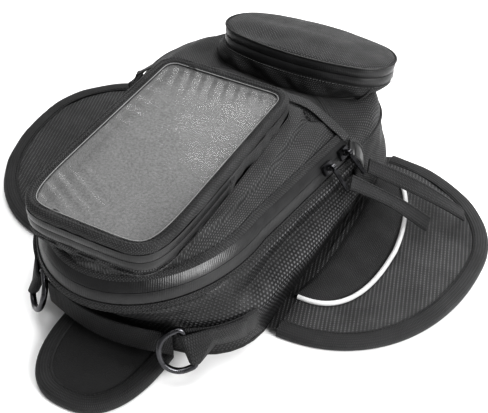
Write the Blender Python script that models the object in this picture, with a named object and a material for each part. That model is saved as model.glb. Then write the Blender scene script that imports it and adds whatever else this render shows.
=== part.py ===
"""Motorcycle tank bag: a soft bag held on a fuel tank by magnets in its flaps.

The frame is in metres with +Z up.  The bag lies on its base at z = 0 with its long
axis along Y: the rider's end is at -Y, the round pouch is at +Y and +X is the
bag's right-hand side.  The origin is at the middle of the base.
"""
import math
from collections import namedtuple

import bpy
import bmesh
from mathutils import Matrix, Vector

MM = 0.001

# ---------------------------------------------------------------- clearances
GAP = 0.4 * MM            # between pieces that touch when sewn together
LOOSE = 0.8 * MM          # between pieces that slide or turn past each other

# ------------------------------------------------------------ driving sizes
NOSE_Y = -37.0 * MM       # where the straight sides turn into the rounded nose
TAIL_Y = 108.0 * MM       # where the sides turn into the rounded tail
WALL = 3.0 * MM           # coated side wall with its lining
LINER = 5.0 * MM          # foam liner inside the side wall
LINER_GAP = 1.2 * MM      # the liner is loose behind the wall
MAT = 3.0 * MM            # anti-slip base mat
BOARD = 3.0 * MM          # stiff board on the mat
TAPE = 1.6 * MM           # zipper tape with its coil
PANEL = 2.5 * MM          # unpadded woven panels
BINDING = 1.6 * MM        # folded binding tape

Level = namedtuple("Level", "z front reach front_power rear back rear_power")
# Outlines of the bag from the base up: half width and reach of the nose,
# half width and reach of the tail, and how square each of them is.
FOOT = Level(MAT + GAP, 94 * MM, 68 * MM, 2.7, 99 * MM, 68 * MM, 2.7)
BULGE = Level(42 * MM, 98 * MM, 82 * MM, 2.4, 113 * MM, 74 * MM, 2.6)
VALLEY = Level(58 * MM, 89 * MM, 94 * MM, 2.2, 108 * MM, 71 * MM, 2.6)
RIDGE = Level(70 * MM, 88 * MM, 102 * MM, 2.1, 107 * MM, 71 * MM, 2.6)
RIM = Level(78 * MM, 83.5 * MM, 105 * MM, 2.0, 104 * MM, 69 * MM, 2.6)

TUB_LEVELS = (FOOT, BULGE, VALLEY, RIDGE, RIM)

ZIP_WIDTH = 7.2 * MM      # height of each half of the main zipper
ZIP_LEAN = 3.6 * MM       # how far each half leans in
ZIP_END_Y = 74.0 * MM     # where the main zipper ends on both sides
SIDE_END_Y = 80.0 * MM    # where the coated side wall meets the woven tail

LID_HINGE_Y = 75.5 * MM
LID_HINGE_Z = 117.0 * MM
CREST = 50 * MM           # half width of the lid's flat top at its hinge

POCKET_HALF = 57 * MM     # half width of the phone pocket
POCKET_FRONT = -133 * MM
POCKET_REAR = 64 * MM
POCKET_CORNER = 16 * MM   # rounding of the pocket's rear corners
POCKET_BASE_FRONT = 106 * MM
POCKET_BASE_REAR = 118 * MM
POCKET_TAPE = 6.4 * MM    # height of each half of the pocket zipper
FRAME_TOP = 133 * MM      # top of the window's binding
FRAME_WIDTH = 10 * MM
FRAME_HEIGHT = 6.6 * MM
FILM = 0.8 * MM
FLAP_Y = -32 * MM         # where the window folds when its zipper is open
PAD = 4.0 * MM

POUCH_Y = 141 * MM
POUCH_HALF_LENGTH = 73.5 * MM
POUCH_HALF_DEPTH = 36 * MM
POUCH_END_RADIUS = 29 * MM
POUCH_LEAN = 12 * MM      # the soft pouch leans over to the bag's right
POUCH_RECLINE = math.radians(12)    # and tips back
NECK_X = 18 * MM
NECK_Z = 98 * MM
POUCH_WALL_TOP = 118 * MM
POUCH_TAPE = 6.8 * MM
POUCH_DOME = 8.0 * MM

WING_ROOT_X = 103 * MM
WING_MID_Y = 85 * MM
WING_REACH = 114 * MM
WING_FRONT = 140 * MM
WING_BACK = 92 * MM
WING_HINGE_Z = 4 * MM
LINING = 1.6 * MM
CORE = 3.0 * MM
TOP_SKIN = 1.6 * MM
EDGE_WIDTH = 13 * MM      # width of the flaps' binding
MAGNET_RADIUS = 15 * MM
MAGNET_PLACES = ((42 * MM, 23 * MM), (48 * MM, 123 * MM))
INNER_REACH = 47 * MM     # woven panel beside the wall, edged by the piping
INNER_MID_Y = 62 * MM
INNER_FRONT = 78 * MM
INNER_BACK = 88 * MM
PIPING_RADIUS = 1.9 * MM

TONGUE_ROOT_Y = -108 * MM
TONGUE_HALF = 47 * MM
TONGUE_LENGTH = 74 * MM

WEBBING = 25 * MM         # webbing width, which the D-rings fit
WEBBING_THICKNESS = 1.6 * MM
RING_WIRE = 1.9 * MM      # radius of the D-ring's wire
RING_REACH = 20 * MM
RING_HALF = 16 * MM       # half length of the ring along its bar
RING_CORNER = 3 * MM
BAR_PLACE = Vector((66 * MM, -115 * MM, 33 * MM))
BAR_LEAN = Vector((12, -3, -26)).normalized()
RING_YAW = math.radians(222)
TAB_HALF = 11.3 * MM      # half height of the webbing round the leaning bar
TAB_GAP = 1.6 * MM        # between a tab and the wall it is sewn to
TAB_SKIP = 3              # wall points left free beside the ring's bar
TAB_POINTS = 8            # wall points that a tab runs along
STRAP_STAND = 9 * MM      # how far the front strap stands off the wall
STRAP_END_Y = -118 * MM
STRAP_DROP = 2 * MM

SLIDER_LENGTH = 11 * MM
SLIDER_WIDTH = 8 * MM
SLIDER_PLATE = 2.2 * MM
BRIDGE_HEIGHT = 4.6 * MM
ARM = 1.2 * MM            # the bridge's arm, thick and wide
ARM_WIDTH = 1.6 * MM
CURL_RADIUS = 1.4 * MM    # inside of the pull's curled end
PULL_LENGTH = 20 * MM
SMALL_PULL_LENGTH = 16 * MM
PULL_WIDTH = 3.6 * MM
PULL_THICKNESS = 1.0 * MM
PULL_BOW = 5 * MM
MAIN_SLIDER_Y = (45 * MM, 67 * MM)
MAIN_SLIDER_LIFT = 2.2 * MM         # clear of the upper tape while the lid lifts
MAIN_PULL_ENDS = (Vector((164, 96, 17)) * MM, Vector((186, 120, 17)) * MM)
POCKET_SLIDER_Y = -46 * MM
TAPE_PULL_WIDTH = 13 * MM
TAPE_PULL_THICKNESS = 2.4 * MM


# ------------------------------------------------------------ scene helpers
def clear_scene():
    for obj in list(bpy.data.objects):
        bpy.data.objects.remove(obj, do_unlink=True)


def material(name, grey, roughness, metallic=0.0, alpha=1.0):
    mat = bpy.data.materials.new(name)
    mat.use_nodes = True
    shader = mat.node_tree.nodes["Principled BSDF"]
    shader.inputs["Base Color"].default_value = (grey, grey, grey, 1)
    shader.inputs["Roughness"].default_value = roughness
    shader.inputs["Metallic"].default_value = metallic
    shader.inputs["Alpha"].default_value = alpha
    return mat


def finish_mesh(name, bm, mat, origin=(0, 0, 0), smooth=True):
    """Make an object of a mesh in world coordinates, with its origin at a point."""
    bmesh.ops.remove_doubles(bm, verts=bm.verts, dist=0.00001)
    bmesh.ops.recalc_face_normals(bm, faces=bm.faces)
    if bm.calc_volume(signed=True) < 0:
        bmesh.ops.reverse_faces(bm, faces=bm.faces)
    origin = Vector(origin)
    bmesh.ops.translate(bm, verts=bm.verts, vec=-origin)
    mesh = bpy.data.meshes.new(name)
    bm.to_mesh(mesh)
    bm.free()
    if smooth:
        mesh.shade_smooth()
        mesh.set_sharp_from_angle(angle=math.radians(40))
    mesh.materials.append(mat)
    obj = bpy.data.objects.new(name, mesh)
    obj.location = origin
    bpy.context.collection.objects.link(obj)
    return obj


def loft(name, rings, mat, closed=False, origin=(0, 0, 0), smooth=True):
    """Bridge rings of points in order; an open loft gets a face at each end."""
    bm = bmesh.new()
    rows = [[bm.verts.new(p) for p in ring] for ring in rings]
    pairs = list(zip(rows, rows[1:]))
    if closed:
        pairs.append((rows[-1], rows[0]))
    for low, high in pairs:
        for i in range(len(low)):
            j = (i + 1) % len(low)
            bm.faces.new((low[i], low[j], high[j], high[i]))
    if not closed:
        bm.faces.new(rows[0])
        bm.faces.new(rows[-1])
    return finish_mesh(name, bm, mat, origin, smooth)


def cut(obj, cutters):
    """Cut holes with hidden cutters."""
    for index, cutter in enumerate(cutters):
        cutter.hide_render = True
        cutter.display_type = "WIRE"
        modifier = obj.modifiers.new(f"cut_{index}", "BOOLEAN")
        modifier.operation = "DIFFERENCE"
        modifier.object = cutter


def disc(name, centre, radius, height, mat, sides=24):
    ring = [Vector((radius * math.cos(a), radius * math.sin(a), 0))
            for a in (2 * math.pi * i / sides for i in range(sides))]
    low = Vector(centre)
    high = low + Vector((0, 0, height))
    return loft(name, [[low + p for p in ring], [high + p for p in ring]], mat, origin=centre)


# ------------------------------------------------------------ plan outlines
def path_at(outline, z, inset=0.0):
    """The wall's outline at a height, on straight lines between its levels."""
    pairs = list(zip(TUB_LEVELS, TUB_LEVELS[1:]))
    low, high = next((p for p in pairs if z <= p[1].z), pairs[-1])
    share = (z - low.z) / (high.z - low.z)
    return [tuple(Vector(a).lerp(Vector(b), share))
            for a, b in zip(outline(low, inset), outline(high, inset))]


def half_width(level, y):
    share = (y - NOSE_Y) / (TAIL_Y - NOSE_Y)
    return level.front + (level.rear - level.front) * share


def quarter(width, reach, power, steps):
    """Points of a superellipse from its tip, on the Y axis, to its side."""
    points = []
    for i in range(steps + 1):
        angle = 0.5 * math.pi * i / steps
        across = width * math.sin(angle) ** (2 / power)
        points.append((across, reach * max(math.cos(angle), 0) ** (2 / power)))
    return points


def nose_path(level, y_end, inset=0.0, steps=10, side_steps=5):
    """Open path from the left end round the nose to the right end."""
    nose = quarter(level.front, level.reach, level.front_power, steps)
    right = [(x, NOSE_Y - y) for x, y in nose]
    for i in range(1, side_steps + 1):
        y = NOSE_Y + (y_end - NOSE_Y) * i / side_steps
        right.append((half_width(level, y), y))
    left = [(-x, y) for x, y in reversed(right[1:])]
    return offset(left + right, -inset)


def tail_path(level, y_start, inset=0.0, steps=8, side_steps=2):
    """Open path from the right side round the tail to the left side."""
    right = []
    for i in range(side_steps):
        y = y_start + (TAIL_Y - y_start) * i / side_steps
        right.append((half_width(level, y), y))
    tail = quarter(level.rear, level.back, level.rear_power, steps)
    right += [(x, TAIL_Y + y) for x, y in reversed(tail)]
    left = [(-x, y) for x, y in reversed(right[:-1])]
    return offset(right + left, -inset)


def whole_path(level, inset=0.0, steps=10, side_steps=6, tail_steps=8):
    """Closed path round the whole bag, anticlockwise seen from above."""
    right = [(x, NOSE_Y - y)
             for x, y in quarter(level.front, level.reach, level.front_power, steps)]
    for i in range(1, side_steps):
        y = NOSE_Y + (TAIL_Y - NOSE_Y) * i / side_steps
        right.append((half_width(level, y), y))
    tail = quarter(level.rear, level.back, level.rear_power, tail_steps)
    right += [(x, TAIL_Y + y) for x, y in reversed(tail)]
    left = [(-x, y) for x, y in reversed(right[1:-1])]
    return offset(right + left, -inset, closed=True)


def offset(path, distance, closed=False):
    """Move an anticlockwise path outwards by a distance."""
    if distance == 0:
        return list(path)
    count = len(path)
    moved = []
    for i in range(count):
        before = path[(i - 1) % count] if closed or i > 0 else path[i]
        after = path[(i + 1) % count] if closed or i < count - 1 else path[i]
        here = Vector(path[i])
        incoming = here - Vector(before)
        outgoing = Vector(after) - here
        if incoming.length < 1e-9:
            incoming = outgoing
        if outgoing.length < 1e-9:
            outgoing = incoming
        incoming.normalize()
        outgoing.normalize()
        normal = Vector((incoming.y, -incoming.x)) + Vector((outgoing.y, -outgoing.x))
        normal.normalize()
        stretch = max(normal.dot(Vector((outgoing.y, -outgoing.x))), 0.5)
        moved.append(tuple(here + normal * distance / stretch))
    return moved


def wall(name, levels, thickness, mat, closed=False, origin=(0, 0, 0), bend=tuple):
    """A wall that follows plan paths: levels are (path, z) from the bottom up."""
    outer = [[bend((x, y, z)) for x, y in path] for path, z in levels]
    inner = [[bend((x, y, z)) for x, y in offset(path, -thickness, closed)] for path, z in levels]
    sections = []
    for i in range(len(outer[0])):
        section = [row[i] for row in outer]
        section += [row[i] for row in reversed(inner)]
        sections.append(section)
    return loft(name, sections, mat, closed, origin)


def plate(name, path, z_low, z_high, mat, origin=(0, 0, 0)):
    rings = [[(x, y, z) for x, y in path] for z in (z_low, z_high)]
    return loft(name, rings, mat, origin=origin)


# ------------------------------------------------------------------- tub
def tub_levels(outline, inset=0.0):
    """Paths of the bag's wall from its foot to its rim."""
    return [(outline(level, inset), level.z) for level in TUB_LEVELS]


def side_path(level, inset=0.0):
    return nose_path(level, SIDE_END_Y, inset)


def back_path(level, inset=0.0):
    return tail_path(level, SIDE_END_Y + 2 * GAP, inset)


def make_tub(m):
    plate("base_mat", whole_path(FOOT, GAP), 0, MAT, m["mat"])
    board_z = MAT + GAP
    inside = WALL + GAP
    plate("base_board", whole_path(FOOT, inside), board_z, board_z + BOARD, m["board"])
    wall("side_wall", tub_levels(side_path), WALL, m["coated"])
    wall("tail_wall", tub_levels(back_path), WALL, m["oxford"])
    heights = [board_z + BOARD + GAP, BULGE.z, VALLEY.z, RIDGE.z, RIM.z - 4 * MM]
    levels = [(path_at(whole_path, z, inside + LINER_GAP), z) for z in heights]
    wall("foam_liner", levels, LINER, m["foam"], closed=True)
    make_wall_binding(m)


def zip_path(level, inset=0.0):
    return nose_path(level, ZIP_END_Y, inset)


def make_wall_binding(m):
    """Woven tape sewn round the outside of the wall just under the zipper."""
    stand = -GAP - BINDING
    levels = [(path_at(zip_path, z, stand), z) for z in (RIM.z - 6.5 * MM, RIM.z)]
    wall("wall_binding", levels, BINDING, m["binding"])


# ------------------------------------------------------- zipper of the lid
def make_main_zipper(m):
    low = RIM.z + GAP
    split = low + ZIP_WIDTH
    levels = [(zip_path(RIM, 0), low), (zip_path(RIM, ZIP_LEAN), split)]
    wall("main_tape_lower", levels, TAPE, m["zipper"])
    levels = [(zip_path(RIM, ZIP_LEAN), split + GAP),
              (zip_path(RIM, 2 * ZIP_LEAN), split + GAP + ZIP_WIDTH)]
    wall("main_tape_upper", levels, TAPE, m["zipper"], origin=hinge_point())
    return split + GAP + ZIP_WIDTH


def hinge_point():
    return (0, LID_HINGE_Y, LID_HINGE_Z)


def crest_height(x, low, side):
    """Height of the fold line that the lid turns on, from side to side."""
    share = min(max((side - abs(x)) / (side - CREST), 0), 1)
    return low + (LID_HINGE_Z - low) * math.sin(0.5 * math.pi * share)


def rear_edge(low, side, y, steps=8):
    """Points across the bag along the fold line, from right to left."""
    points = []
    for i in range(1, steps):
        x = side * math.cos(math.pi * i / steps)
        points.append((x, y, crest_height(x, low, side)))
    return points


def pocket_base(y):
    share = (y - POCKET_FRONT) / (POCKET_REAR - POCKET_FRONT)
    return POCKET_BASE_FRONT + (POCKET_BASE_REAR - POCKET_BASE_FRONT) * share


def pocket_path(inset=0.0, steps=10, side_steps=5):
    """Pocket outline, left rear corner to right rear corner round the front."""
    front = quarter(POCKET_HALF, NOSE_Y - POCKET_FRONT, 6, steps)
    right = [(x, NOSE_Y - y) for x, y in front]
    for i in range(1, side_steps + 1):
        y = NOSE_Y + (POCKET_REAR - NOSE_Y) * i / side_steps
        right.append((POCKET_HALF, y))
    left = [(-x, y) for x, y in reversed(right[1:])]
    return offset(left + right, -inset)


def make_lid_panel(m, low):
    """Woven top of the lid, from the zipper up to the foot of the phone pocket."""
    inset = 2 * ZIP_LEAN + GAP
    rise = 3 * MM

    def ring(path, height, rear_y, drop=0.0):
        points = [(x, y, height(y) - drop) for x, y in path]
        side = abs(path[-1][0])
        edge = rear_edge(height(rear_y), side, rear_y)
        return points + [(x, y, max(z - drop, height(rear_y) - drop)) for x, y, z in edge]

    rim = nose_path(RIM, ZIP_END_Y, inset)
    shoulder = nose_path(RIM, ZIP_END_Y - 1.5 * MM, inset + 7 * MM)
    foot = pocket_path(0)
    outer = [
        ring(rim, lambda y: low, ZIP_END_Y),
        ring(shoulder, lambda y: low + rise, ZIP_END_Y - 1.5 * MM),
        pocket_ring(foot, 0, POCKET_REAR),
    ]
    thin = PANEL
    inner = [
        ring(offset(rim, -thin), lambda y: low, ZIP_END_Y - thin, 0),
        ring(offset(shoulder, -0.6 * thin), lambda y: low + rise, ZIP_END_Y - 1.5 * thin, thin),
        pocket_ring(offset(foot, -0.4 * thin), thin, POCKET_REAR - thin),
    ]
    rings = list(reversed(inner)) + outer
    return loft("lid_panel", rings, m["oxford"], origin=hinge_point())


def pocket_ring(path, drop, rear_y, steps=8):
    """The pocket's outline as a closed ring on the lid's sloping top."""
    points = [(x, y, pocket_base(y) - drop) for x, y in path]
    half = abs(path[-1][0])
    for i in range(1, steps):
        x = half * math.cos(math.pi * i / steps)
        points.append((x, rear_y, pocket_base(rear_y) - drop))
    return points


def pocket_tail(y_start, inset=0.0):
    """Pocket outline from the right side round the rear to the left side."""
    corner = POCKET_CORNER
    right = [(POCKET_HALF, y_start)]
    for i in range(7):
        angle = 0.5 * math.pi * i / 6
        right.append((POCKET_HALF - corner + corner * math.cos(angle),
                      POCKET_REAR - corner + corner * math.sin(angle)))
    left = [(-x, y) for x, y in reversed(right)]
    return offset(right + left, -inset)


def pocket_nose(y_end, inset=0.0, steps=10):
    """Pocket outline from the left side round the front to the right side."""
    front = quarter(POCKET_HALF, NOSE_Y - POCKET_FRONT, 6, steps)
    right = [(x, NOSE_Y - y) for x, y in front] + [(POCKET_HALF, y_end)]
    left = [(-x, y) for x, y in reversed(right[1:])]
    return offset(left + right, -inset)


def closed_pocket(inset):
    """Closed pocket outline with rounded rear corners, anticlockwise."""
    step = 2 * MM
    return offset(pocket_nose(FLAP_Y - step) + pocket_tail(FLAP_Y + step), -inset, closed=True)


def make_pocket(m):
    """Phone pocket on the lid: wall, padded floor, zipper, binding and film."""
    zip_low = FRAME_TOP - FRAME_HEIGHT - 3 * GAP - 2 * POCKET_TAPE
    frame_low = FRAME_TOP - FRAME_HEIGHT
    make_pocket_wall(m, zip_low, frame_low - GAP)
    pad_path = closed_pocket(PANEL + GAP)
    rings = [[(x, y, pocket_base(y) + GAP + lift) for x, y in pad_path] for lift in (0, PAD)]
    loft("pocket_pad", rings, m["lining"], origin=hinge_point())
    tape_end = FLAP_Y - 5 * MM
    low_path = pocket_nose(tape_end)
    levels = [(low_path, zip_low + GAP), (low_path, zip_low + GAP + POCKET_TAPE)]
    wall("pocket_tape_lower", levels, TAPE, m["zipper"], origin=hinge_point())
    top = zip_low + 2 * GAP + POCKET_TAPE
    levels = [(low_path, top), (low_path, top + POCKET_TAPE)]
    wall("pocket_tape_upper", levels, TAPE, m["zipper"], origin=flap_point())
    make_window(m, frame_low)
    return zip_low + 1.5 * GAP + POCKET_TAPE


def flap_point():
    return (0, FLAP_Y, FRAME_TOP + GAP)


def make_pocket_wall(m, zip_low, top):
    """The wall is low under the zipper and rises to the binding behind it."""
    outer = closed_pocket(0)
    inner = closed_pocket(PANEL)
    sections = []
    for (x, y), (u, v) in zip(outer, inner):
        low = pocket_base(y) + GAP
        low_inside = pocket_base(v) + GAP
        high = zip_low if y < FLAP_Y else top
        sections.append([(x, y, low), (x, y, high), (u, v, high), (u, v, low_inside)])
    return loft("pocket_wall", sections, m["oxford"], closed=True, origin=hinge_point())


def make_window(m, frame_low):
    film_low = FRAME_TOP - 3 * MM
    parts = (("front", pocket_nose, FLAP_Y - GAP, flap_point()),
             ("rear", pocket_tail, FLAP_Y + GAP, hinge_point()))
    for side, outline, y_cut, origin in parts:
        sections = []
        for (x, y), (u, v) in zip(outline(y_cut), outline(y_cut, FRAME_WIDTH)):
            sections.append([(x, y, frame_low), (x, y, FRAME_TOP),
                             (u, v, FRAME_TOP), (u, v, frame_low)])
        loft(f"window_frame_{side}", sections, m["binding"], origin=origin)
        film_path = outline(y_cut, FRAME_WIDTH + GAP)
        plate(f"window_film_{side}", film_path, film_low, film_low + FILM, m["film"], origin)


# ---------------------------------------------------------------- pouch
def oval(centre, half_length, half_depth, end_radius, steps=7):
    """Closed four-arc oval from its right end, anticlockwise."""
    reach = half_length - end_radius
    large = (reach ** 2 + half_depth ** 2 - end_radius ** 2) / (2 * (half_depth - end_radius))
    turn = math.atan2(large - half_depth, reach)
    quarter_path = [(reach + end_radius * math.cos(turn * i / steps),
                     end_radius * math.sin(turn * i / steps)) for i in range(steps + 1)]
    sweep = 0.5 * math.pi - turn
    for i in range(1, steps + 1):
        angle = turn + sweep * i / steps
        quarter_path.append((large * math.cos(angle),
                             large * math.sin(angle) - (large - half_depth)))
    right = [(x, -y) for x, y in reversed(quarter_path[:-1])] + quarter_path[1:-1]
    top = quarter_path[-1]
    left = [(-x, -y) for x, y in right]
    points = right + [top] + left + [(top[0], -top[1])]
    return [(centre[0] + x, centre[1] + y) for x, y in points]


def pouch_centre(z):
    share = (z - NECK_Z) / (POUCH_WALL_TOP - NECK_Z)
    return (NECK_X + POUCH_LEAN * min(share, 1), POUCH_Y)


def pouch_oval(z, grow=0.0):
    return oval(pouch_centre(z), POUCH_HALF_LENGTH + grow, POUCH_HALF_DEPTH + grow,
                POUCH_END_RADIUS + grow)


def recline(point):
    """Tip a point of the upright pouch back, the more the nearer to the wall's top."""
    x, y, z = point
    front = POUCH_Y - POUCH_HALF_DEPTH
    turn = POUCH_RECLINE * min(max((z - NECK_Z) / (POUCH_WALL_TOP - NECK_Z), 0), 1)
    base = min(z, POUCH_WALL_TOP)
    depth, height = y - front, z - base
    return (x, front + depth * math.cos(turn) + height * math.sin(turn),
            base - depth * math.sin(turn) + height * math.cos(turn))


def pouch_hinge():
    x, y = pouch_centre(POUCH_WALL_TOP)
    return recline((x, y + POUCH_HALF_DEPTH + 1 * MM, pouch_lid_low()))


def pouch_lid_low():
    return POUCH_WALL_TOP + 3 * GAP + 2 * POUCH_TAPE


def pouch_tape_path():
    """The pouch's zipper runs round the front and both ends."""
    path = pouch_oval(POUCH_WALL_TOP)
    limit = POUCH_Y + 0.72 * POUCH_HALF_DEPTH
    kept = [p for p in path if p[1] < limit]
    start = max(range(len(kept)), key=lambda i: (Vector(kept[i]) - Vector(kept[i - 1])).length)
    return kept[start:] + kept[:start]


def make_pouch(m):
    middle = 0.5 * (NECK_Z + POUCH_WALL_TOP)
    levels = [(pouch_oval(NECK_Z), NECK_Z + GAP),
              (pouch_oval(middle, 1.2 * MM), middle),
              (pouch_oval(POUCH_WALL_TOP), POUCH_WALL_TOP)]
    wall("pouch_wall", levels, PANEL, m["oxford"], closed=True, bend=recline)
    inset = PANEL + 2 * GAP + 4 * MM     # the wall leans in over the floor
    plate("pouch_floor", pouch_oval(NECK_Z + GAP, -inset), NECK_Z + GAP,
          NECK_Z + GAP + 2 * MM, m["lining"])
    path = pouch_tape_path()
    low = POUCH_WALL_TOP + GAP
    wall("pouch_tape_lower", [(path, low), (path, low + POUCH_TAPE)], TAPE, m["zipper"],
         bend=recline)
    low += POUCH_TAPE + GAP
    wall("pouch_tape_upper", [(path, low), (path, low + POUCH_TAPE)], TAPE, m["zipper"],
         origin=pouch_hinge(), bend=recline)
    make_pouch_strip(m)
    make_pouch_lid(m)


def make_pouch_strip(m):
    """Woven hinge strip behind the pouch, between the zipper's ends."""
    path = pouch_oval(POUCH_WALL_TOP)
    limit = POUCH_Y + 0.72 * POUCH_HALF_DEPTH
    back = sorted((p for p in path if p[1] >= limit + 2 * MM), key=lambda p: -p[0])
    wall("pouch_hinge_strip", [(back, POUCH_WALL_TOP + GAP), (back, pouch_lid_low() - 2 * GAP)],
         TAPE, m["binding"], bend=recline)


def make_pouch_lid(m):
    low = pouch_lid_low()
    thin = 2 * MM
    outer = [(pouch_oval(1, 0.5 * MM), low), (pouch_oval(1, -1 * MM), low + 2.4 * MM),
             (pouch_oval(1, -9 * MM), low + 0.72 * POUCH_DOME),
             (pouch_oval(1, -22 * MM), low + POUCH_DOME)]
    inner = [(pouch_oval(1, 0.5 * MM - thin), low), (pouch_oval(1, -1 * MM - thin), low + 1.2 * MM),
             (pouch_oval(1, -9 * MM - thin), low + 0.72 * POUCH_DOME - thin),
             (pouch_oval(1, -22 * MM - thin), low + POUCH_DOME - thin)]
    rings = [[recline((x, y, z)) for x, y in path] for path, z in list(reversed(inner)) + outer]
    loft("pouch_lid", rings, m["oxford"], origin=pouch_hinge())


def make_saddle(m):
    """Woven top of the tail, from the lid's fold line and the tail wall to the pouch."""
    neck = pouch_oval(NECK_Z, GAP + 0.6 * MM)
    neck_z = NECK_Z - 1.5 * MM
    low = RIM.z + GAP
    front_y = LID_HINGE_Y + LOOSE
    top = low + PANEL
    rim = tail_path(RIM, front_y, 0.2 * MM, side_steps=3)
    side = rim[0][0]
    across = rear_edge(top, side, front_y, steps=12)
    ring = [(x, y, top) for x, y in rim] + list(reversed(across))
    centre = Vector(pouch_centre(NECK_Z))
    outer = []
    for x, y in neck:
        outer.append(ray_hit(centre, Vector((x, y)), ring))
    sections = []
    for (x, y), edge in zip(neck, outer):
        inside = Vector((x, y, neck_z))
        outside = Vector(edge)
        middle = inside.lerp(outside, 0.5) + Vector((0, 0, 2 * MM))
        level = Vector((outside.x - inside.x, outside.y - inside.y, 0))
        run = level.length
        rise = inside.z - outside.z
        slope = math.hypot(run, rise)
        under = Vector((0, 0, -run / slope)) - level.normalized() * (max(rise, 0) / slope)
        under *= PANEL
        below = outside - Vector((0, 0, PANEL))
        sections.append([outside, middle, inside, inside + under, middle + under, below])
    loft("tail_saddle", sections, m["oxford"], closed=True)


def ray_hit(centre, through, ring):
    """Where a level ray from a centre through a point leaves a closed ring."""
    direction = (through - centre).normalized()
    best = None
    for i, a in enumerate(ring):
        b = ring[(i + 1) % len(ring)]
        edge = Vector((b[0] - a[0], b[1] - a[1]))
        start = Vector((a[0] - centre.x, a[1] - centre.y))
        cross = direction.x * edge.y - direction.y * edge.x
        if abs(cross) < 1e-12:
            continue
        along = (start.x * edge.y - start.y * edge.x) / cross
        share = (start.x * direction.y - start.y * direction.x) / cross
        if along > 0 and -1e-9 <= share <= 1 + 1e-9 and (best is None or along > best[0]):
            best = (along, Vector(a).lerp(Vector(b), share))
    return best[1]


# ---------------------------------------------------------------- flaps
def flap_outline(reach, front, back, inset=0.0, steps=9):
    """Flap outline from front to back; x is measured out from the root."""
    fore = [(x, -y) for x, y in quarter(reach, front, 2.2, steps)]
    aft = [(x, y) for x, y in reversed(quarter(reach, back, 2.0, steps))]
    path = fore + aft[1:]
    return offset(path, -inset) if inset else path


def placed(path, sign):
    """Put a wing outline on one side of the bag."""
    return [(sign * (WING_ROOT_X + x), WING_MID_Y + y) for x, y in path]


def make_wing(side, sign, m):
    origin = (sign * WING_ROOT_X, WING_MID_Y, WING_HINGE_Z)
    edge = BINDING + GAP
    path = placed(trim_root(flap_outline(WING_REACH, WING_FRONT, WING_BACK, edge)), sign)
    plate(f"{side}_wing_lining", path, 0, LINING, m["napped"], origin)
    core_low = LINING + GAP
    core = plate(f"{side}_wing_core", path, core_low, core_low + CORE, m["foam"], origin)
    skin_low = core_low + CORE + GAP
    skin_high = skin_low + TOP_SKIN
    plate(f"{side}_wing_skin", path, skin_low, skin_high, m["oxford"], origin)
    cutters = []
    for index, (x, y) in enumerate(MAGNET_PLACES):
        centre = (sign * (WING_ROOT_X + x), y, core_low + 0.1 * MM)
        disc(f"{side}_wing_magnet_{index + 1}", centre, MAGNET_RADIUS, CORE - 0.2 * MM, m["magnet"])
        low = (centre[0], centre[1], core_low - 1 * MM)
        cutters.append(disc(f"{side}_magnet_hole_{index}", low, MAGNET_RADIUS + GAP,
                            CORE + 2 * MM, m["magnet"]))
    cut(core, cutters)
    outline = flap_outline(WING_REACH, WING_FRONT, WING_BACK)
    make_edging(f"{side}_wing_binding", outline, skin_high, sign, origin, m)
    make_inner_panel(side, sign, skin_high, origin, m)


def trim_root(path):
    """Keep a flap outline on its own side of the root line."""
    return [(max(x, 0.0), y) for x, y in path]


def make_edging(name, outline, skin_high, sign, origin, m, place=None):
    """Binding folded over the flap's rim: an L-shaped section along the outline."""
    place = place or (lambda path: placed(path, sign))
    outer = place(outline)
    web = place(trim_root(offset(outline, -BINDING)))
    flange = place(trim_root(offset(outline, -EDGE_WIDTH)))
    low = skin_high + GAP
    high = low + 1.0 * MM
    sections = []
    for a, b, c in zip(outer, web, flange):
        sections.append([(*a, 0), (*a, high), (*c, high), (*c, low), (*b, low), (*b, 0)])
    return loft(name, sections, m["binding"], origin=origin)


def make_inner_panel(side, sign, skin_high, origin, m):
    """Plain panel beside the wall, with reflective piping along its edge."""
    low = skin_high + GAP
    high = low + 1.0 * MM
    fore = [(x, INNER_MID_Y - WING_MID_Y - y) for x, y in quarter(INNER_REACH, INNER_FRONT, 2.2, 7)]
    aft = [(x, INNER_MID_Y - WING_MID_Y + y) for x, y in quarter(INNER_REACH, INNER_BACK, 2.2, 7)]
    path = fore + list(reversed(aft))[1:]
    plate(f"{side}_wing_panel", placed(path, sign), low, high, m["twill"], origin)
    bead = PIPING_RADIUS + GAP
    line = placed(trim_root(offset(path, bead)), sign)
    centre_z = low + PIPING_RADIUS
    sections = []
    for i, point in enumerate(line):
        before = Vector(line[max(i - 1, 0)])
        after = Vector(line[min(i + 1, len(line) - 1)])
        tangent = (after - before).normalized()
        across = Vector((tangent.y, -tangent.x, 0))
        centre = Vector((*point, centre_z))
        sections.append([centre + PIPING_RADIUS * (math.cos(a) * across + math.sin(a) * Vector((0, 0, 1)))
                         for a in (2 * math.pi * k / 8 for k in range(8))])
    loft(f"{side}_wing_piping", sections, m["piping"], origin=origin)


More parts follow.
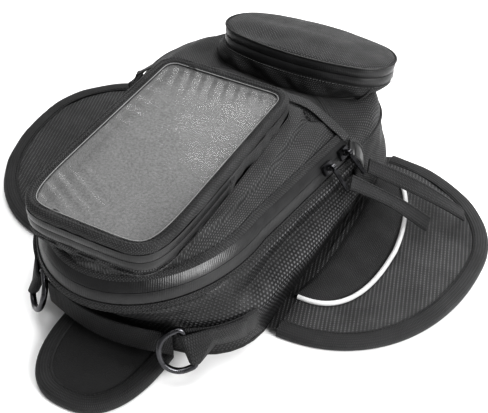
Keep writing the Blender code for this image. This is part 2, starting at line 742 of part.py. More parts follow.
def make_tongue(m):
    origin = (0, TONGUE_ROOT_Y, WING_HINGE_Z)

    def place(path):
        return [(x, TONGUE_ROOT_Y - y) for x, y in path]

    def outline(inset):
        tip = quarter(TONGUE_HALF, TONGUE_LENGTH, 2.5, 9)
        path = [(-x, y) for x, y in reversed(tip)] + tip[1:]
        moved = offset([(x, -y) for x, y in path], -inset)
        return [(x, max(-y, 0.0)) for x, y in moved]

    inside = outline(BINDING + GAP)
    plate("tongue_lining", place(inside), 0, LINING, m["oxford"], origin)
    core_low = LINING + GAP
    core = plate("tongue_core", place(inside), core_low, core_low + CORE, m["foam"], origin)
    centre = (0, TONGUE_ROOT_Y - 0.5 * TONGUE_LENGTH, core_low + 0.1 * MM)
    disc("tongue_magnet", centre, MAGNET_RADIUS, CORE - 0.2 * MM, m["magnet"])
    hole = (0, centre[1], core_low - 1 * MM)
    cut(core, [disc("tongue_magnet_hole", hole, MAGNET_RADIUS + GAP, CORE + 2 * MM, m["magnet"])])
    skin_low = core_low + CORE + GAP
    skin_high = skin_low + TOP_SKIN
    plate("tongue_skin", place(inside), skin_low, skin_high, m["napped"], origin)
    outer = place(outline(0))
    web = place(outline(BINDING))
    flange = place(outline(EDGE_WIDTH))
    low = skin_high + GAP
    high = low + 1.0 * MM
    sections = []
    for a, b, c in zip(outer, web, flange):
        sections.append([(*a, 0), (*a, high), (*c, high), (*c, low), (*b, low), (*b, 0)])
    loft("tongue_binding", sections, m["webbing"], origin=origin)


# ------------------------------------------------------- webbing and rings
def fine_side_path(level, inset=0.0):
    return nose_path(level, SIDE_END_Y, inset, steps=24)


def make_straps(m):
    """Webbing tabs that hold the D-rings and the loose strap between them."""
    z_low = BAR_PLACE.z - TAB_HALF
    z_high = BAR_PLACE.z + TAB_HALF
    for side, sign in (("right", 1), ("left", -1)):
        sections = []
        for z in (z_low, BAR_PLACE.z, BULGE.z, z_high):
            sections.append([(sign * x, y, z) for x, y in tab_path(z)])
        loft(f"{side}_ring_tab", sections, m["webbing"])
    reach = BAR_PLACE.x - 12 * MM
    front_y = NOSE_Y - BULGE.reach - STRAP_STAND
    path = []
    steps = 12
    for i in range(steps + 1):
        x = reach * (2 * i / steps - 1)
        bow = math.cos(0.5 * math.pi * x / reach)
        path.append((x, STRAP_END_Y + (front_y - STRAP_END_Y) * bow))
    levels = [(path, z_low - STRAP_DROP), (path, z_high - STRAP_DROP)]
    wall("front_strap", levels, WEBBING_THICKNESS, m["webbing"])


def tab_path(z):
    """Closed outline of a folded webbing tab at one height, on the right side.

    The webbing lies along the wall, turns round the ring's bar and comes back
    over itself."""
    stand = TAB_GAP + 0.5 * WEBBING_THICKNESS
    middle_wall = path_at(fine_side_path, BAR_PLACE.z, -stand)
    middle_bar = bar_point(BAR_PLACE.z)
    first = min(range(len(middle_wall)), key=lambda i: (Vector(middle_wall[i]) - middle_bar).length)
    wall_path = path_at(fine_side_path, z, -stand)
    run = [Vector(p) for p in wall_path[first + TAB_SKIP:first + TAB_SKIP + TAB_POINTS]]
    bar = bar_point(z)
    toward = (bar - run[0]).normalized()
    inward = Vector((toward.y, -toward.x))
    radius = RING_WIRE + LOOSE + 0.5 * WEBBING_THICKNESS
    turn = [bar + radius * (math.cos(a) * inward + math.sin(a) * toward)
            for a in (math.pi * k / 6 for k in range(7))]
    back = offset([tuple(p) for p in run], WEBBING_THICKNESS + GAP)[:-2]
    middle = [tuple(p) for p in reversed(run)] + [tuple(p) for p in turn] + back
    half = 0.5 * WEBBING_THICKNESS
    return offset(middle, half) + list(reversed(offset(middle, -half)))


def bar_point(z):
    """Where a D-ring's bar crosses a height."""
    run = (z - BAR_PLACE.z) / BAR_LEAN.z
    point = BAR_PLACE + BAR_LEAN * run
    return Vector((point.x, point.y))


def make_ring(side, sign, m):
    """D-ring of round wire: a straight bar and a round bow."""
    half = RING_HALF
    corner = RING_CORNER
    outline = [(0, -half + corner), (0, half - corner)]
    steps = 5
    for i in range(1, steps + 1):
        angle = 0.5 * math.pi * i / steps
        outline.append((corner - corner * math.cos(angle), half - corner + corner * math.sin(angle)))
    bow = half
    flat = RING_REACH - bow
    for i in range(13):
        angle = math.pi * i / 12
        outline.append((corner + flat + bow * math.sin(angle) * 0.92, bow * math.cos(angle)))
    for i in range(steps):
        angle = 0.5 * math.pi * (1 - i / steps)
        outline.append((corner - corner * math.cos(angle), -half + corner - corner * math.sin(angle)))
    out = Vector((math.cos(RING_YAW), math.sin(RING_YAW), 0))
    up = -BAR_LEAN
    out = (out - up * out.dot(up)).normalized()
    centre = BAR_PLACE.copy()
    points = [centre + out * u + up * v for u, v in dedupe(outline)]
    points = [Vector((sign * p.x, p.y, p.z)) for p in points]
    sections = []
    count = len(points)
    across = out.cross(up)
    across.x *= sign
    for i, p in enumerate(points):
        tangent = (points[(i + 1) % count] - points[i - 1]).normalized()
        radial = tangent.cross(across).normalized()
        sections.append([p + RING_WIRE * (math.cos(a) * across + math.sin(a) * radial)
                         for a in (2 * math.pi * k / 8 for k in range(8))])
    origin = (sign * centre.x, centre.y, centre.z)
    return loft(f"{side}_d_ring", sections, m["metal"], closed=True, origin=origin)


def dedupe(points):
    kept = []
    for p in points:
        if not kept or (Vector(p) - Vector(kept[-1])).length > 0.2 * MM:
            kept.append(p)
    if (Vector(kept[0]) - Vector(kept[-1])).length < 0.2 * MM:
        kept.pop()
    return kept


# ------------------------------------------------------------- sliders
def block(name, profile, width, frame, mat, origin):
    """Extrude a side profile (along, up) across a width in a local frame."""
    rings = []
    for side in (-0.5, 0.5):
        rings.append([frame @ Vector((u, side * width, v)) for u, v in profile])
    return loft(name, rings, mat, origin=origin, smooth=False)


def arch_profile():
    """Side view of a slider's bridge: a post, an arm and a hooked end."""
    half = 0.5 * SLIDER_LENGTH
    post = 0.75 * half
    hook = -0.5 * half
    top = SLIDER_PLATE + BRIDGE_HEIGHT
    tip = SLIDER_PLATE + 0.6 * MM
    foot = 0.5 * SLIDER_PLATE
    return [(post, foot), (post, top), (hook, top), (hook, tip), (hook + ARM, tip),
            (hook + ARM, top - ARM), (post - ARM, top - ARM), (post - ARM, foot)]


def slider_frame(place, along, out):
    """Local frame: x along the zipper, z out of the tape."""
    along = Vector(along).normalized()
    out = Vector(out)
    out = (out - along * out.dot(along)).normalized()
    across = out.cross(along)
    frame = Matrix((along, across, out)).transposed().to_4x4()
    frame.translation = Vector(place)
    return frame


def make_slider(name, place, along, out, m):
    """A plate that spans both tapes, with the bridge that holds the pull."""
    frame = slider_frame(place, along, out)
    half = 0.5 * SLIDER_LENGTH
    flat = [(-half, 0), (half, 0), (half, SLIDER_PLATE), (-half, SLIDER_PLATE)]
    slider = block(name, flat, SLIDER_WIDTH, frame, m["metal"], place)
    arch = block(f"{name}_arch", arch_profile(), ARM_WIDTH, frame, m["metal"], place)
    arch.hide_render = True
    arch.display_type = "WIRE"
    joined = slider.modifiers.new("bridge", "BOOLEAN")
    joined.operation = "UNION"
    joined.object = arch
    return slider


def bridge_point(place, along, out):
    """Middle of a slider's arm, which its pull is curled round."""
    frame = slider_frame(place, along, out)
    middle = 0.5 * (0.25 * 0.5 * SLIDER_LENGTH)
    return frame @ Vector((middle, 0, SLIDER_PLATE + BRIDGE_HEIGHT - 0.5 * ARM))


def curl_profile(length):
    """Side view of a pull: a strip curled round the arm, with a straight tail."""
    half = 0.5 * PULL_THICKNESS
    inner = CURL_RADIUS
    outer = CURL_RADIUS + PULL_THICKNESS
    root = math.asin(half / outer)
    end = math.radians(335)
    steps = 12
    turn = [root + (end - root) * i / steps for i in range(steps + 1)]
    points = [(length, half)]
    points += [(outer * math.cos(a), outer * math.sin(a)) for a in turn]
    points += [(inner * math.cos(a), inner * math.sin(a)) for a in reversed(turn)]
    points.append((inner * math.cos(root), -inner * math.sin(root)))
    points.append((outer * math.cos(root), -half))
    points.append((length, -half))
    return points


def make_pull(name, pivot, along, down, length, mat):
    """Metal pull, curled round its slider's arm and hanging from it."""
    along = Vector(along).normalized()
    down = Vector(down).normalized()
    down = (down - along * down.dot(along)).normalized()
    normal = along.cross(down)
    frame = Matrix((down, -along, normal)).transposed().to_4x4()
    frame.translation = Vector(pivot)
    return block(name, curl_profile(length), PULL_WIDTH, frame, mat, pivot)


def strap_pull(name, start, end, width, side_axis, mat, origin):
    """A flat fabric tape from one point to another, slightly bowed."""
    start = Vector(start)
    end = Vector(end)
    run = (end - start).normalized()
    side_axis = Vector(side_axis)
    side_axis = (side_axis - run * side_axis.dot(run)).normalized()
    normal = run.cross(side_axis)
    if normal.z < 0:
        normal = -normal
    steps = 6
    sections = []
    for i in range(steps + 1):
        share = i / steps
        centre = start.lerp(end, share) + normal * (PULL_BOW * math.sin(math.pi * share))
        half = 0.5 * width * (0.72 if i == steps else 1.0)
        thick = 0.5 * TAPE_PULL_THICKNESS
        sections.append([centre - side_axis * half - normal * thick,
                         centre + side_axis * half - normal * thick,
                         centre + side_axis * half + normal * thick,
                         centre - side_axis * half + normal * thick])
    return loft(name, sections, mat, origin=origin)


def track(y, z_split):
    """Point and direction of the main zipper's right-hand track."""
    x = half_width(RIM, y) - ZIP_LEAN
    along = Vector((half_width(RIM, 1.0) - half_width(RIM, 0.0), 1.0, 0)).normalized()
    out = Vector((ZIP_WIDTH, 0, ZIP_LEAN)).normalized()
    return Vector((x, y, z_split)) + out * MAIN_SLIDER_LIFT, along, out


def make_main_sliders(m):
    split = RIM.z + 1.5 * GAP + ZIP_WIDTH
    for index, (y, end) in enumerate(zip(MAIN_SLIDER_Y, MAIN_PULL_ENDS)):
        label = "ab"[index]
        place, along, out = track(y, split)
        make_slider(f"main_slider_{label}", place, along, out, m)
        pivot = bridge_point(place, along, out)
        down = Vector((end.x - pivot.x, 0, end.z - pivot.z))
        make_pull(f"main_pull_{label}", pivot, along, down, PULL_LENGTH, m["metal"])
        start = pivot + down.normalized() * (PULL_LENGTH + 2 * MM)
        strap_pull(f"main_puller_tape_{label}", start, end, TAPE_PULL_WIDTH,
                   along, m["webbing"], pivot)


def make_pocket_slider(m, z_split):
    place = Vector((-POCKET_HALF - LOOSE - 0.2 * MM, POCKET_SLIDER_Y, z_split))
    along = Vector((0, 1, 0))
    out = Vector((-1, 0, 0))
    make_slider("pocket_slider", place, along, out, m)
    pivot = bridge_point(place, along, out)
    down = Vector((-0.35, 0, -1))
    make_pull("pocket_pull", pivot, along, down, SMALL_PULL_LENGTH, m["metal"])


def make_pouch_slider(m):
    """The slider parks on the left end of the oval, where the arc is round."""
    z_split = POUCH_WALL_TOP + 1.5 * GAP + POUCH_TAPE
    x, y = pouch_centre(POUCH_WALL_TOP)
    middle = Vector(recline((x - (POUCH_HALF_LENGTH - POUCH_END_RADIUS), y, z_split)))
    tip = Matrix.Rotation(-POUCH_RECLINE, 3, "X")
    angle = math.radians(145)
    out = tip @ Vector((math.cos(angle), math.sin(angle), 0))
    along = tip @ Vector((-math.sin(angle), math.cos(angle), 0))
    place = middle + out * (POUCH_END_RADIUS + LOOSE + 1.4 * MM)
    make_slider("pouch_slider", place, along, out, m)
    pivot = bridge_point(place, along, out)
    down = tip @ Vector((0.45 * math.cos(angle), 0.45 * math.sin(angle), -1))
    make_pull("pouch_pull", pivot, along, down, SMALL_PULL_LENGTH, m["metal"])


def make_materials():
    return {
        "mat": material("anti_slip_mat", 0.02, 0.9),
        "board": material("stiff_board", 0.03, 0.5),
        "coated": material("coated_fabric", 0.015, 0.35),
        "oxford": material("oxford_fabric", 0.02, 0.8),
        "twill": material("twill_fabric", 0.015, 0.85),
        "napped": material("napped_fabric", 0.02, 0.95),
        "binding": material("binding_tape", 0.018, 0.7),
        "webbing": material("webbing", 0.015, 0.75),
        "foam": material("foam", 0.1, 0.9),
        "lining": material("grey_lining", 0.2, 0.9),
        "zipper": material("coated_zipper", 0.015, 0.25),
        "film": material("clear_film", 0.8, 0.1, alpha=0.3),
        "piping": material("reflective_piping", 0.55, 0.5),
        "magnet": material("magnet_plate", 0.3, 0.4, metallic=1.0),
        "metal": material("dark_nickel", 0.12, 0.3, metallic=1.0),
    }


def main():
    clear_scene()
    m = make_materials()
    make_tub(m)
    lid_low = make_main_zipper(m) + GAP
    make_lid_panel(m, lid_low)
    pocket_split = make_pocket(m)
    make_pouch(m)
    make_saddle(m)
    for side, sign in (("right", 1), ("left", -1)):
        make_wing(side, sign, m)
        make_ring(side, sign, m)
    make_tongue(m)
    make_straps(m)
    make_main_sliders(m)
    make_pocket_slider(m, pocket_split)
    make_pouch_slider(m)


main()
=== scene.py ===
"""Looks of the tank bag: its fabrics, zippers, film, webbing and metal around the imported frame."""
import math

import bmesh
import bpy
import numpy as np
from mathutils import Matrix, Vector


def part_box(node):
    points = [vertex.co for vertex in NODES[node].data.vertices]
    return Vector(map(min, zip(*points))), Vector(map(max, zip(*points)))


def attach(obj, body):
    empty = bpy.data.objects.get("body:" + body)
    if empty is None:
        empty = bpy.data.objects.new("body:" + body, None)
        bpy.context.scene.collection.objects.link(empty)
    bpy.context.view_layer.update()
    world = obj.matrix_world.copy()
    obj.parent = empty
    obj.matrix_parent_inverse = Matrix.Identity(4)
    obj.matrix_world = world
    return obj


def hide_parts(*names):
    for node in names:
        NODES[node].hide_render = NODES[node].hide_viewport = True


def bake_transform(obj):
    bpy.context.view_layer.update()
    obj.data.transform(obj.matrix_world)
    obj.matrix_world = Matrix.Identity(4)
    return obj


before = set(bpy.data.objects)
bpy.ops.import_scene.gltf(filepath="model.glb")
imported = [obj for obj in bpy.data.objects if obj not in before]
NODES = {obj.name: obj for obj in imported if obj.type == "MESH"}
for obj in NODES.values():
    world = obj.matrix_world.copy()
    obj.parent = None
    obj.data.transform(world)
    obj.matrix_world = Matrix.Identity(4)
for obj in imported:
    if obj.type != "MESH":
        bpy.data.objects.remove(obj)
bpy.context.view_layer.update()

MM = 0.001
GAP = 0.4 * MM
UP = np.array([0.0, 0.0, 1.0])

# ------------------------------------------------ sizes shared with the frame
NOSE_Y = -37 * MM
TAIL_Y = 108 * MM
SIDE_END_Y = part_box("side_wall")[1].y
ZIP_END_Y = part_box("main_tape_lower")[1].y
# Outline of the bag at five heights: z, nose width, nose reach, nose power,
# tail width, tail reach, tail power.
LEVELS = np.array([
    [3.4 * MM, 94 * MM, 68 * MM, 2.7, 99 * MM, 68 * MM, 2.7],
    [42 * MM, 98 * MM, 82 * MM, 2.4, 113 * MM, 74 * MM, 2.6],
    [58 * MM, 89 * MM, 94 * MM, 2.2, 108 * MM, 71 * MM, 2.6],
    [70 * MM, 88 * MM, 102 * MM, 2.1, 107 * MM, 71 * MM, 2.6],
    [78 * MM, 83.5 * MM, 105 * MM, 2.0, 104 * MM, 69 * MM, 2.6],
])
RIM_Z = LEVELS[-1][0]
ZIP_LEAN = 3.6 * MM
ZIP_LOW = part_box("main_tape_lower")[0].z
ZIP_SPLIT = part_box("main_tape_lower")[1].z
ZIP_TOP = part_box("main_tape_upper")[1].z
HINGE_Y = 75.5 * MM
HINGE_Z = 117 * MM
CREST = 50 * MM
POCKET_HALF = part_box("pocket_wall")[1].x
POCKET_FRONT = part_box("pocket_wall")[0].y
POCKET_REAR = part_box("pocket_wall")[1].y
FRAME_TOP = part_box("window_frame_rear")[1].z
FRAME_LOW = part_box("window_frame_rear")[0].z
FLAP_Y = -32 * MM
FILM_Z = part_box("window_film_rear")[1].z
POUCH_Y = 141 * MM
NECK_X = 18 * MM
POUCH_TOP_X = 30 * MM
POUCH_SIZE = (73.5 * MM, 36 * MM, 29 * MM)    # half length, half depth, end radius
POUCH_RECLINE = math.radians(12)
POUCH_TAPE = 6.8 * MM
NECK_Z = 98 * MM
POUCH_TOP_Z = 118 * MM
POUCH_LID_Z = POUCH_TOP_Z + 3 * GAP + 2 * POUCH_TAPE
WING_ROOT = 103 * MM
WING_Y = 85 * MM
WING_REACH = 114 * MM
WING_FRONT = 140 * MM
WING_BACK = 92 * MM
TONGUE_Y = -108 * MM


# ------------------------------------------------------------ point helpers
def unit(v):
    return v / np.maximum(np.linalg.norm(v, axis=-1, keepdims=True), 1e-12)


def lengths(path):
    steps = np.linalg.norm(np.diff(path, axis=0), axis=1)
    return np.concatenate([[0], np.cumsum(steps)])


def resample(path, count, closed=False):
    """The same path with evenly spaced points."""
    path = np.asarray(path, float)
    if closed:
        path = np.vstack([path, path[:1]])
    run = lengths(path)
    at = np.linspace(0, run[-1], count + 1)[:-1] if closed else np.linspace(0, run[-1], count)
    return np.stack([np.interp(at, run, path[:, k]) for k in range(path.shape[1])], 1)


def smooth(path, rounds=2, closed=False):
    path = np.array(path, float)
    for _ in range(rounds):
        if closed:
            path = 0.25 * np.roll(path, 1, 0) + 0.5 * path + 0.25 * np.roll(path, -1, 0)
        else:
            path[1:-1] = 0.25 * path[:-2] + 0.5 * path[1:-1] + 0.25 * path[2:]
    return path


def outset(path, distance, closed=False):
    """Move an anticlockwise plan path outwards."""
    if closed:
        tangent = np.roll(path, -1, 0) - np.roll(path, 1, 0)
    else:
        tangent = np.gradient(path, axis=0)
    tangent = unit(tangent[:, :2])
    moved = np.array(path, float)
    moved[:, 0] += tangent[:, 1] * distance
    moved[:, 1] -= tangent[:, 0] * distance
    return moved


def ripple(points, size, seed, waves=14):
    """Smooth random heights between about -1 and 1, the same on every run."""
    rng = np.random.RandomState(seed)
    points = np.asarray(points, float)
    total = np.zeros(points.shape[:-1])
    for _ in range(waves):
        direction = unit(rng.normal(size=3))
        wave = size * rng.uniform(0.7, 1.6)
        total += np.sin(points @ direction * (2 * math.pi / wave) + rng.uniform(0, 2 * math.pi))
    return total / math.sqrt(waves)


def bump_at(points, centre, radii):
    """A soft bell round a place, 1 in its middle."""
    away = (points - np.array(centre)) / np.array(radii)
    return np.exp(-(away ** 2).sum(-1))


def quarter(width, reach, power, steps=40):
    angle = np.linspace(0, 0.5 * math.pi, steps)
    x = width * np.sin(angle) ** (2 / power)
    y = reach * np.clip(np.cos(angle), 0, 1) ** (2 / power)
    return np.stack([x, y], 1)


# ------------------------------------------------------------ mesh helpers
def grid_normals(grid, wrap=False):
    if wrap:
        across = np.roll(grid, -1, 1) - np.roll(grid, 1, 1)
    else:
        across = np.gradient(grid, axis=1)
    along = np.gradient(grid, axis=0)
    return unit(np.cross(across, along))


def make_object(name, points, faces, uvs, mat, smooth_angle=50):
    mesh = bpy.data.meshes.new(name)
    mesh.from_pydata([tuple(p) for p in points], [], faces)
    layer = mesh.uv_layers.new(name="UVMap")
    layer.data.foreach_set("uv", np.asarray(uvs, np.float32).ravel())
    mesh.materials.append(mat)
    bm = bmesh.new()
    bm.from_mesh(mesh)
    bmesh.ops.recalc_face_normals(bm, faces=bm.faces)
    bm.to_mesh(mesh)
    bm.free()
    mesh.shade_smooth()
    mesh.set_sharp_from_angle(angle=math.radians(smooth_angle))
    obj = bpy.data.objects.new(name, mesh)
    bpy.context.scene.collection.objects.link(obj)
    return obj


def cloth(name, grid, mat, thick=1 * MM, wrap=False, smooth_angle=50, plan=False):
    """A sewn panel: a grid of points, rows by columns, with a back and closed rims.

    The grid's outward side is columns crossed with rows. A panel cut flat takes its weave
    in plan."""
    rows, cols = grid.shape[:2]
    back = grid - grid_normals(grid, wrap) * thick
    points = np.concatenate([grid.reshape(-1, 3), back.reshape(-1, 3)])
    span = cols if wrap else cols - 1
    run = np.linalg.norm(np.roll(grid, -1, 1) - grid, axis=2).mean(0)
    u = np.concatenate([[0], np.cumsum(run)])
    rise = np.linalg.norm(np.diff(grid, axis=0), axis=2).mean(1)
    v = np.concatenate([[0], np.cumsum(rise)])
    faces = []
    uvs = []
    half = rows * cols

    def at(i, j, side):
        return side * half + i * cols + j % cols

    def add(corners, flip=False):
        corners = corners[::-1] if flip else corners
        faces.append([at(i, j, side) for i, j, side in corners])
        if plan:
            uvs.extend([tuple(grid[i, j % cols, :2] + side * thick) for i, j, side in corners])
        else:
            uvs.extend([(u[j], v[i] + side * thick) for i, j, side in corners])

    for i in range(rows - 1):
        for j in range(span):
            square = [(i, j), (i, j + 1), (i + 1, j + 1), (i + 1, j)]
            add([(*c, 0) for c in square])
            add([(*c, 1) for c in square], flip=True)
    closed = wrap and float(np.ptp(grid[-1], axis=0).max()) < 8 * MM
    if closed:      # the last ring is the middle of the panel
        add([(rows - 1, j, 0) for j in range(cols)])
        add([(rows - 1, j, 1) for j in range(cols)], flip=True)
    for j in range(span):
        add([(0, j, 0), (0, j + 1, 0), (0, j + 1, 1), (0, j, 1)], flip=True)
        if not closed:
            add([(rows - 1, j, 0), (rows - 1, j + 1, 0), (rows - 1, j + 1, 1), (rows - 1, j, 1)])
    if not wrap:
        for i in range(rows - 1):
            add([(i, 0, 0), (i + 1, 0, 0), (i + 1, 0, 1), (i, 0, 1)])
            add([(i, cols - 1, 0), (i + 1, cols - 1, 0), (i + 1, cols - 1, 1), (i, cols - 1, 1)],
                flip=True)
    return make_object(name, points, faces, uvs, mat, smooth_angle)


def sweep(name, path, side, up, profile, mat, closed=False, smooth_angle=50):
    """Carry a closed profile of (side, up) pairs along a path."""
    path = np.asarray(path, float)
    side = np.broadcast_to(side, path.shape)
    up = np.broadcast_to(up, path.shape)
    profile = np.asarray(profile, float)
    count, ring = len(path), len(profile)
    points = (path[:, None] + side[:, None] * profile[None, :, :1]
              + up[:, None] * profile[None, :, 1:])
    u = lengths(np.vstack([path, path[:1]]))
    v = lengths(np.vstack([profile, profile[:1]]))
    faces = []
    uvs = []
    last = count if closed else count - 1
    for i in range(last):
        for j in range(ring):
            corners = [(i, j), (i + 1, j), (i + 1, j + 1), (i, j + 1)]
            faces.append([(a % count) * ring + b % ring for a, b in corners])
            uvs.extend([(u[a], v[b]) for a, b in corners])
    if not closed:
        for i in (0, count - 1):
            faces.append([i * ring + j for j in range(ring)])
            uvs.extend([(u[i] + profile[j][1], profile[j][0]) for j in range(ring)])
    return make_object(name, points.reshape(-1, 3), faces, uvs, mat, smooth_angle)


def rounded(width, height, radius, steps=3):
    """Closed rounded rectangle round its own middle."""
    points = []
    for k, (sx, sy) in enumerate(((1, 1), (-1, 1), (-1, -1), (1, -1))):
        for i in range(steps + 1):
            angle = 0.5 * math.pi * (k + i / steps)
            points.append((sx * (0.5 * width - radius) + radius * math.cos(angle),
                           sy * (0.5 * height - radius) + radius * math.sin(angle)))
    return np.array(points)


def frames_on(path, closed=False):
    """Directions along a path, and level directions to its right-hand side."""
    if closed:
        tangent = unit(np.roll(path, -1, 0) - np.roll(path, 1, 0))
    else:
        tangent = unit(np.gradient(path, axis=0))
    right = unit(np.cross(tangent, UP))
    return tangent, right


def tube(name, path, radius, mat, closed=False, sides=10):
    tangent, right = frames_on(np.asarray(path, float), closed)
    over = np.cross(right, tangent)
    angles = np.linspace(0, 2 * math.pi, sides, endpoint=False)
    ring = np.stack([np.cos(angles), np.sin(angles)], 1) * radius
    return sweep(name, path, right, over, ring, mat, closed)


def stitches(name, path, normals, mat, pitch=3.2 * MM, length=2.1 * MM, width=0.38 * MM,
             closed=False, lift=0.12 * MM):
    """A row of thread stitches that sink in at both ends."""
    path = np.asarray(path, float)
    normals = np.broadcast_to(np.asarray(normals, float), path.shape)
    if closed:
        path = np.vstack([path, path[:1]])
        normals = np.vstack([normals, normals[:1]])
    run = lengths(path)
    count = max(int(run[-1] / pitch), 1)
    starts = (np.arange(count) + 0.5) * run[-1] / count

    def along(at, values):
        return np.stack([np.interp(at, run, values[:, k]) for k in range(3)], 1)

    centre = along(starts, path)
    ahead = unit(along(np.minimum(starts + 0.3 * length, run[-1]), path)
                 - along(np.maximum(starts - 0.3 * length, 0), path))
    out = unit(along(starts, normals))
    side = unit(np.cross(ahead, out))
    sides = 6
    angles = np.linspace(0, 2 * math.pi, sides, endpoint=False)
    rings = ((-0.5, 0.25, -0.35), (-0.28, 1.0, 0.6), (0.28, 1.0, 0.6), (0.5, 0.25, -0.35))
    shapes = []
    for share, fat, high in rings:
        middle = centre + ahead * share * length + out * (lift + high * width)
        for a in angles:
            shapes.append(middle + side * (math.cos(a) * width * fat)
                          + out * (math.sin(a) * width * fat * 0.8))
    shapes = np.stack(shapes, 1)
    faces = []
    uvs = []
    per = len(rings) * sides
    for s in range(count):
        base = s * per
        for r in range(len(rings) - 1):
            for k in range(sides):
                nxt = (k + 1) % sides
                faces.append([base + r * sides + k, base + r * sides + nxt,
                              base + (r + 1) * sides + nxt, base + (r + 1) * sides + k])
                uvs.extend([(r * 0.3 * MM, k * MM * 0.2)] * 4)
        for r in (0, len(rings) - 1):
            faces.append([base + r * sides + k for k in range(sides)])
            uvs.extend([(0, 0)] * sides)
    return make_object(name, shapes.reshape(-1, 3), faces, uvs, mat, 80)


def settle(obj, body, slot=None, *replaced):
    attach(obj, body)
    if replaced:
        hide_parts(*replaced)
    return obj


# --------------------------------------------------------------- materials
class Look:
    """A material built node by node."""

    def __init__(self, name, colour, rough=0.8, metal=0.0, spec=0.5):
        self.mat = bpy.data.materials.new(name)
        self.mat.use_nodes = True
        self.tree = self.mat.node_tree
        self.shader = self.tree.nodes["Principled BSDF"]
        self.set("Base Color", (*colour, 1))
        self.set("Roughness", rough)
        self.set("Metallic", metal)
        self.set("Specular IOR Level", spec)
        self.base = colour

    def set(self, socket, value):
        self.shader.inputs[socket].default_value = value
        return self

    def node(self, kind, **settings):
        made = self.tree.nodes.new("ShaderNode" + kind)
        for key, value in settings.items():
            setattr(made, key, value)
        return made

    def link(self, source, target):
        self.tree.links.new(source, target)

    def math(self, operation, a, b=None, c=None):
        made = self.node("Math", operation=operation)
        for index, value in enumerate((a, b, c)):
            if value is None:
                continue
            if isinstance(value, (int, float)):
                made.inputs[index].default_value = value
            else:
                self.link(value, made.inputs[index])
        return made.outputs[0]

    def uv(self, turn=0.0):
        """The fabric's own coordinates in metres, turned by an angle."""
        coords = self.node("TexCoord").outputs["UV"]
        split = self.node("SeparateXYZ")
        self.link(coords, split.inputs[0])
        x, y = split.outputs[0], split.outputs[1]
        if not turn:
            return x, y
        c, s = math.cos(turn), math.sin(turn)
        turned_x = self.math("ADD", self.math("MULTIPLY", x, c), self.math("MULTIPLY", y, -s))
        turned_y = self.math("ADD", self.math("MULTIPLY", x, s), self.math("MULTIPLY", y, c))
        return turned_x, turned_y

    def noise(self, scale, detail=3.0, rough=0.55, low=0.0, high=1.0):
        """Noise in the object's own space, stretched to a range."""
        made = self.node("TexNoise")
        made.inputs["Scale"].default_value = scale
        made.inputs["Detail"].default_value = detail
        made.inputs["Roughness"].default_value = rough
        self.link(self.node("TexCoord").outputs["Object"], made.inputs["Vector"])
        ranged = self.node("MapRange")
        ranged.inputs["From Min"].default_value = 0.3
        ranged.inputs["From Max"].default_value = 0.7
        ranged.inputs["To Min"].default_value = low
        ranged.inputs["To Max"].default_value = high
        self.link(made.outputs["Fac"], ranged.inputs["Value"])
        return ranged.outputs[0]

    def tint(self, *factors):
        """Multiply the base colour by grey factors."""
        total = factors[0]
        for factor in factors[1:]:
            total = self.math("MULTIPLY", total, factor)
        scaled = self.node("Vector" + "Math", operation="SCALE")
        scaled.inputs[0].default_value = self.base
        self.link(total, scaled.inputs["Scale"])
        self.link(scaled.outputs[0], self.shader.inputs["Base Color"])
        return self

    def rough(self, value):
        self.link(value, self.shader.inputs["Roughness"])
        return self

    def bump(self, height, distance, strength=1.0):
        made = self.node("Bump")
        made.inputs["Distance"].default_value = distance
        made.inputs["Strength"].default_value = strength
        self.link(height, made.inputs["Height"])
        known = self.shader.inputs["Normal"].links
        if known:
            self.link(known[0].from_socket, made.inputs["Normal"])
        self.link(made.outputs[0], self.shader.inputs["Normal"])
        return self


def ranged(look, value, low, high):
    made = look.node("MapRange")
    made.inputs["To Min"].default_value = low
    made.inputs["To Max"].default_value = high
    look.link(value, made.inputs["Value"])
    return made.outputs[0]


def weave(look, pitch, turn=0.0, depth=0.35 * MM, dark=0.15, bright=2.2, floats=2, under_high=0.6):
    """Crossing threads of one pitch: the thread on top changes from cell to cell."""
    x, y = look.uv(turn)
    cx = look.math("DIVIDE", x, pitch)
    cy = look.math("DIVIDE", y, pitch)
    warp = look.math("ABSOLUTE", look.math("SINE", look.math("MULTIPLY", cx, math.pi)))
    weft = look.math("ABSOLUTE", look.math("SINE", look.math("MULTIPLY", cy, math.pi)))
    cell = look.math("FLOORED_MODULO",
                     look.math("ADD", look.math("FLOOR", cx), look.math("FLOOR", cy)), floats)
    over = look.math("LESS_THAN", cell, 0.5)
    under = look.math("SUBTRACT", 1, over)
    top = look.math("MULTIPLY", warp, ranged(look, weft, 0.55, 1))
    low = look.math("MULTIPLY", look.math("MULTIPLY", weft, ranged(look, warp, 0.55, 1)), under_high)
    height = look.math("ADD", look.math("MULTIPLY", over, top), look.math("MULTIPLY", under, low))
    look.bump(height, depth)
    # Painted shade and highlight: colour runs from dark in the gaps between threads to bright on the thread
    # tops, where light falls.
    return ranged(look, height, dark, bright)


def oxford(name, colour=(0.027, 0.027, 0.0275), pitch=1.25 * MM, turn=0.0, dark=0.08, bright=3.0,
           rough=0.6, floats=2):
    look = Look(name, colour, rough, spec=0.36)
    shade = weave(look, pitch, turn, 0.5 * MM, dark, bright, floats, 0.35)
    look.tint(shade, look.noise(34, low=0.72, high=1.28), look.noise(900, low=0.75, high=1.25))
    look.rough(look.noise(60, low=rough - 0.1, high=rough + 0.12))
    look.set("Sheen Weight", 0.05)
    look.set("Sheen Roughness", 0.5)
    return look.mat


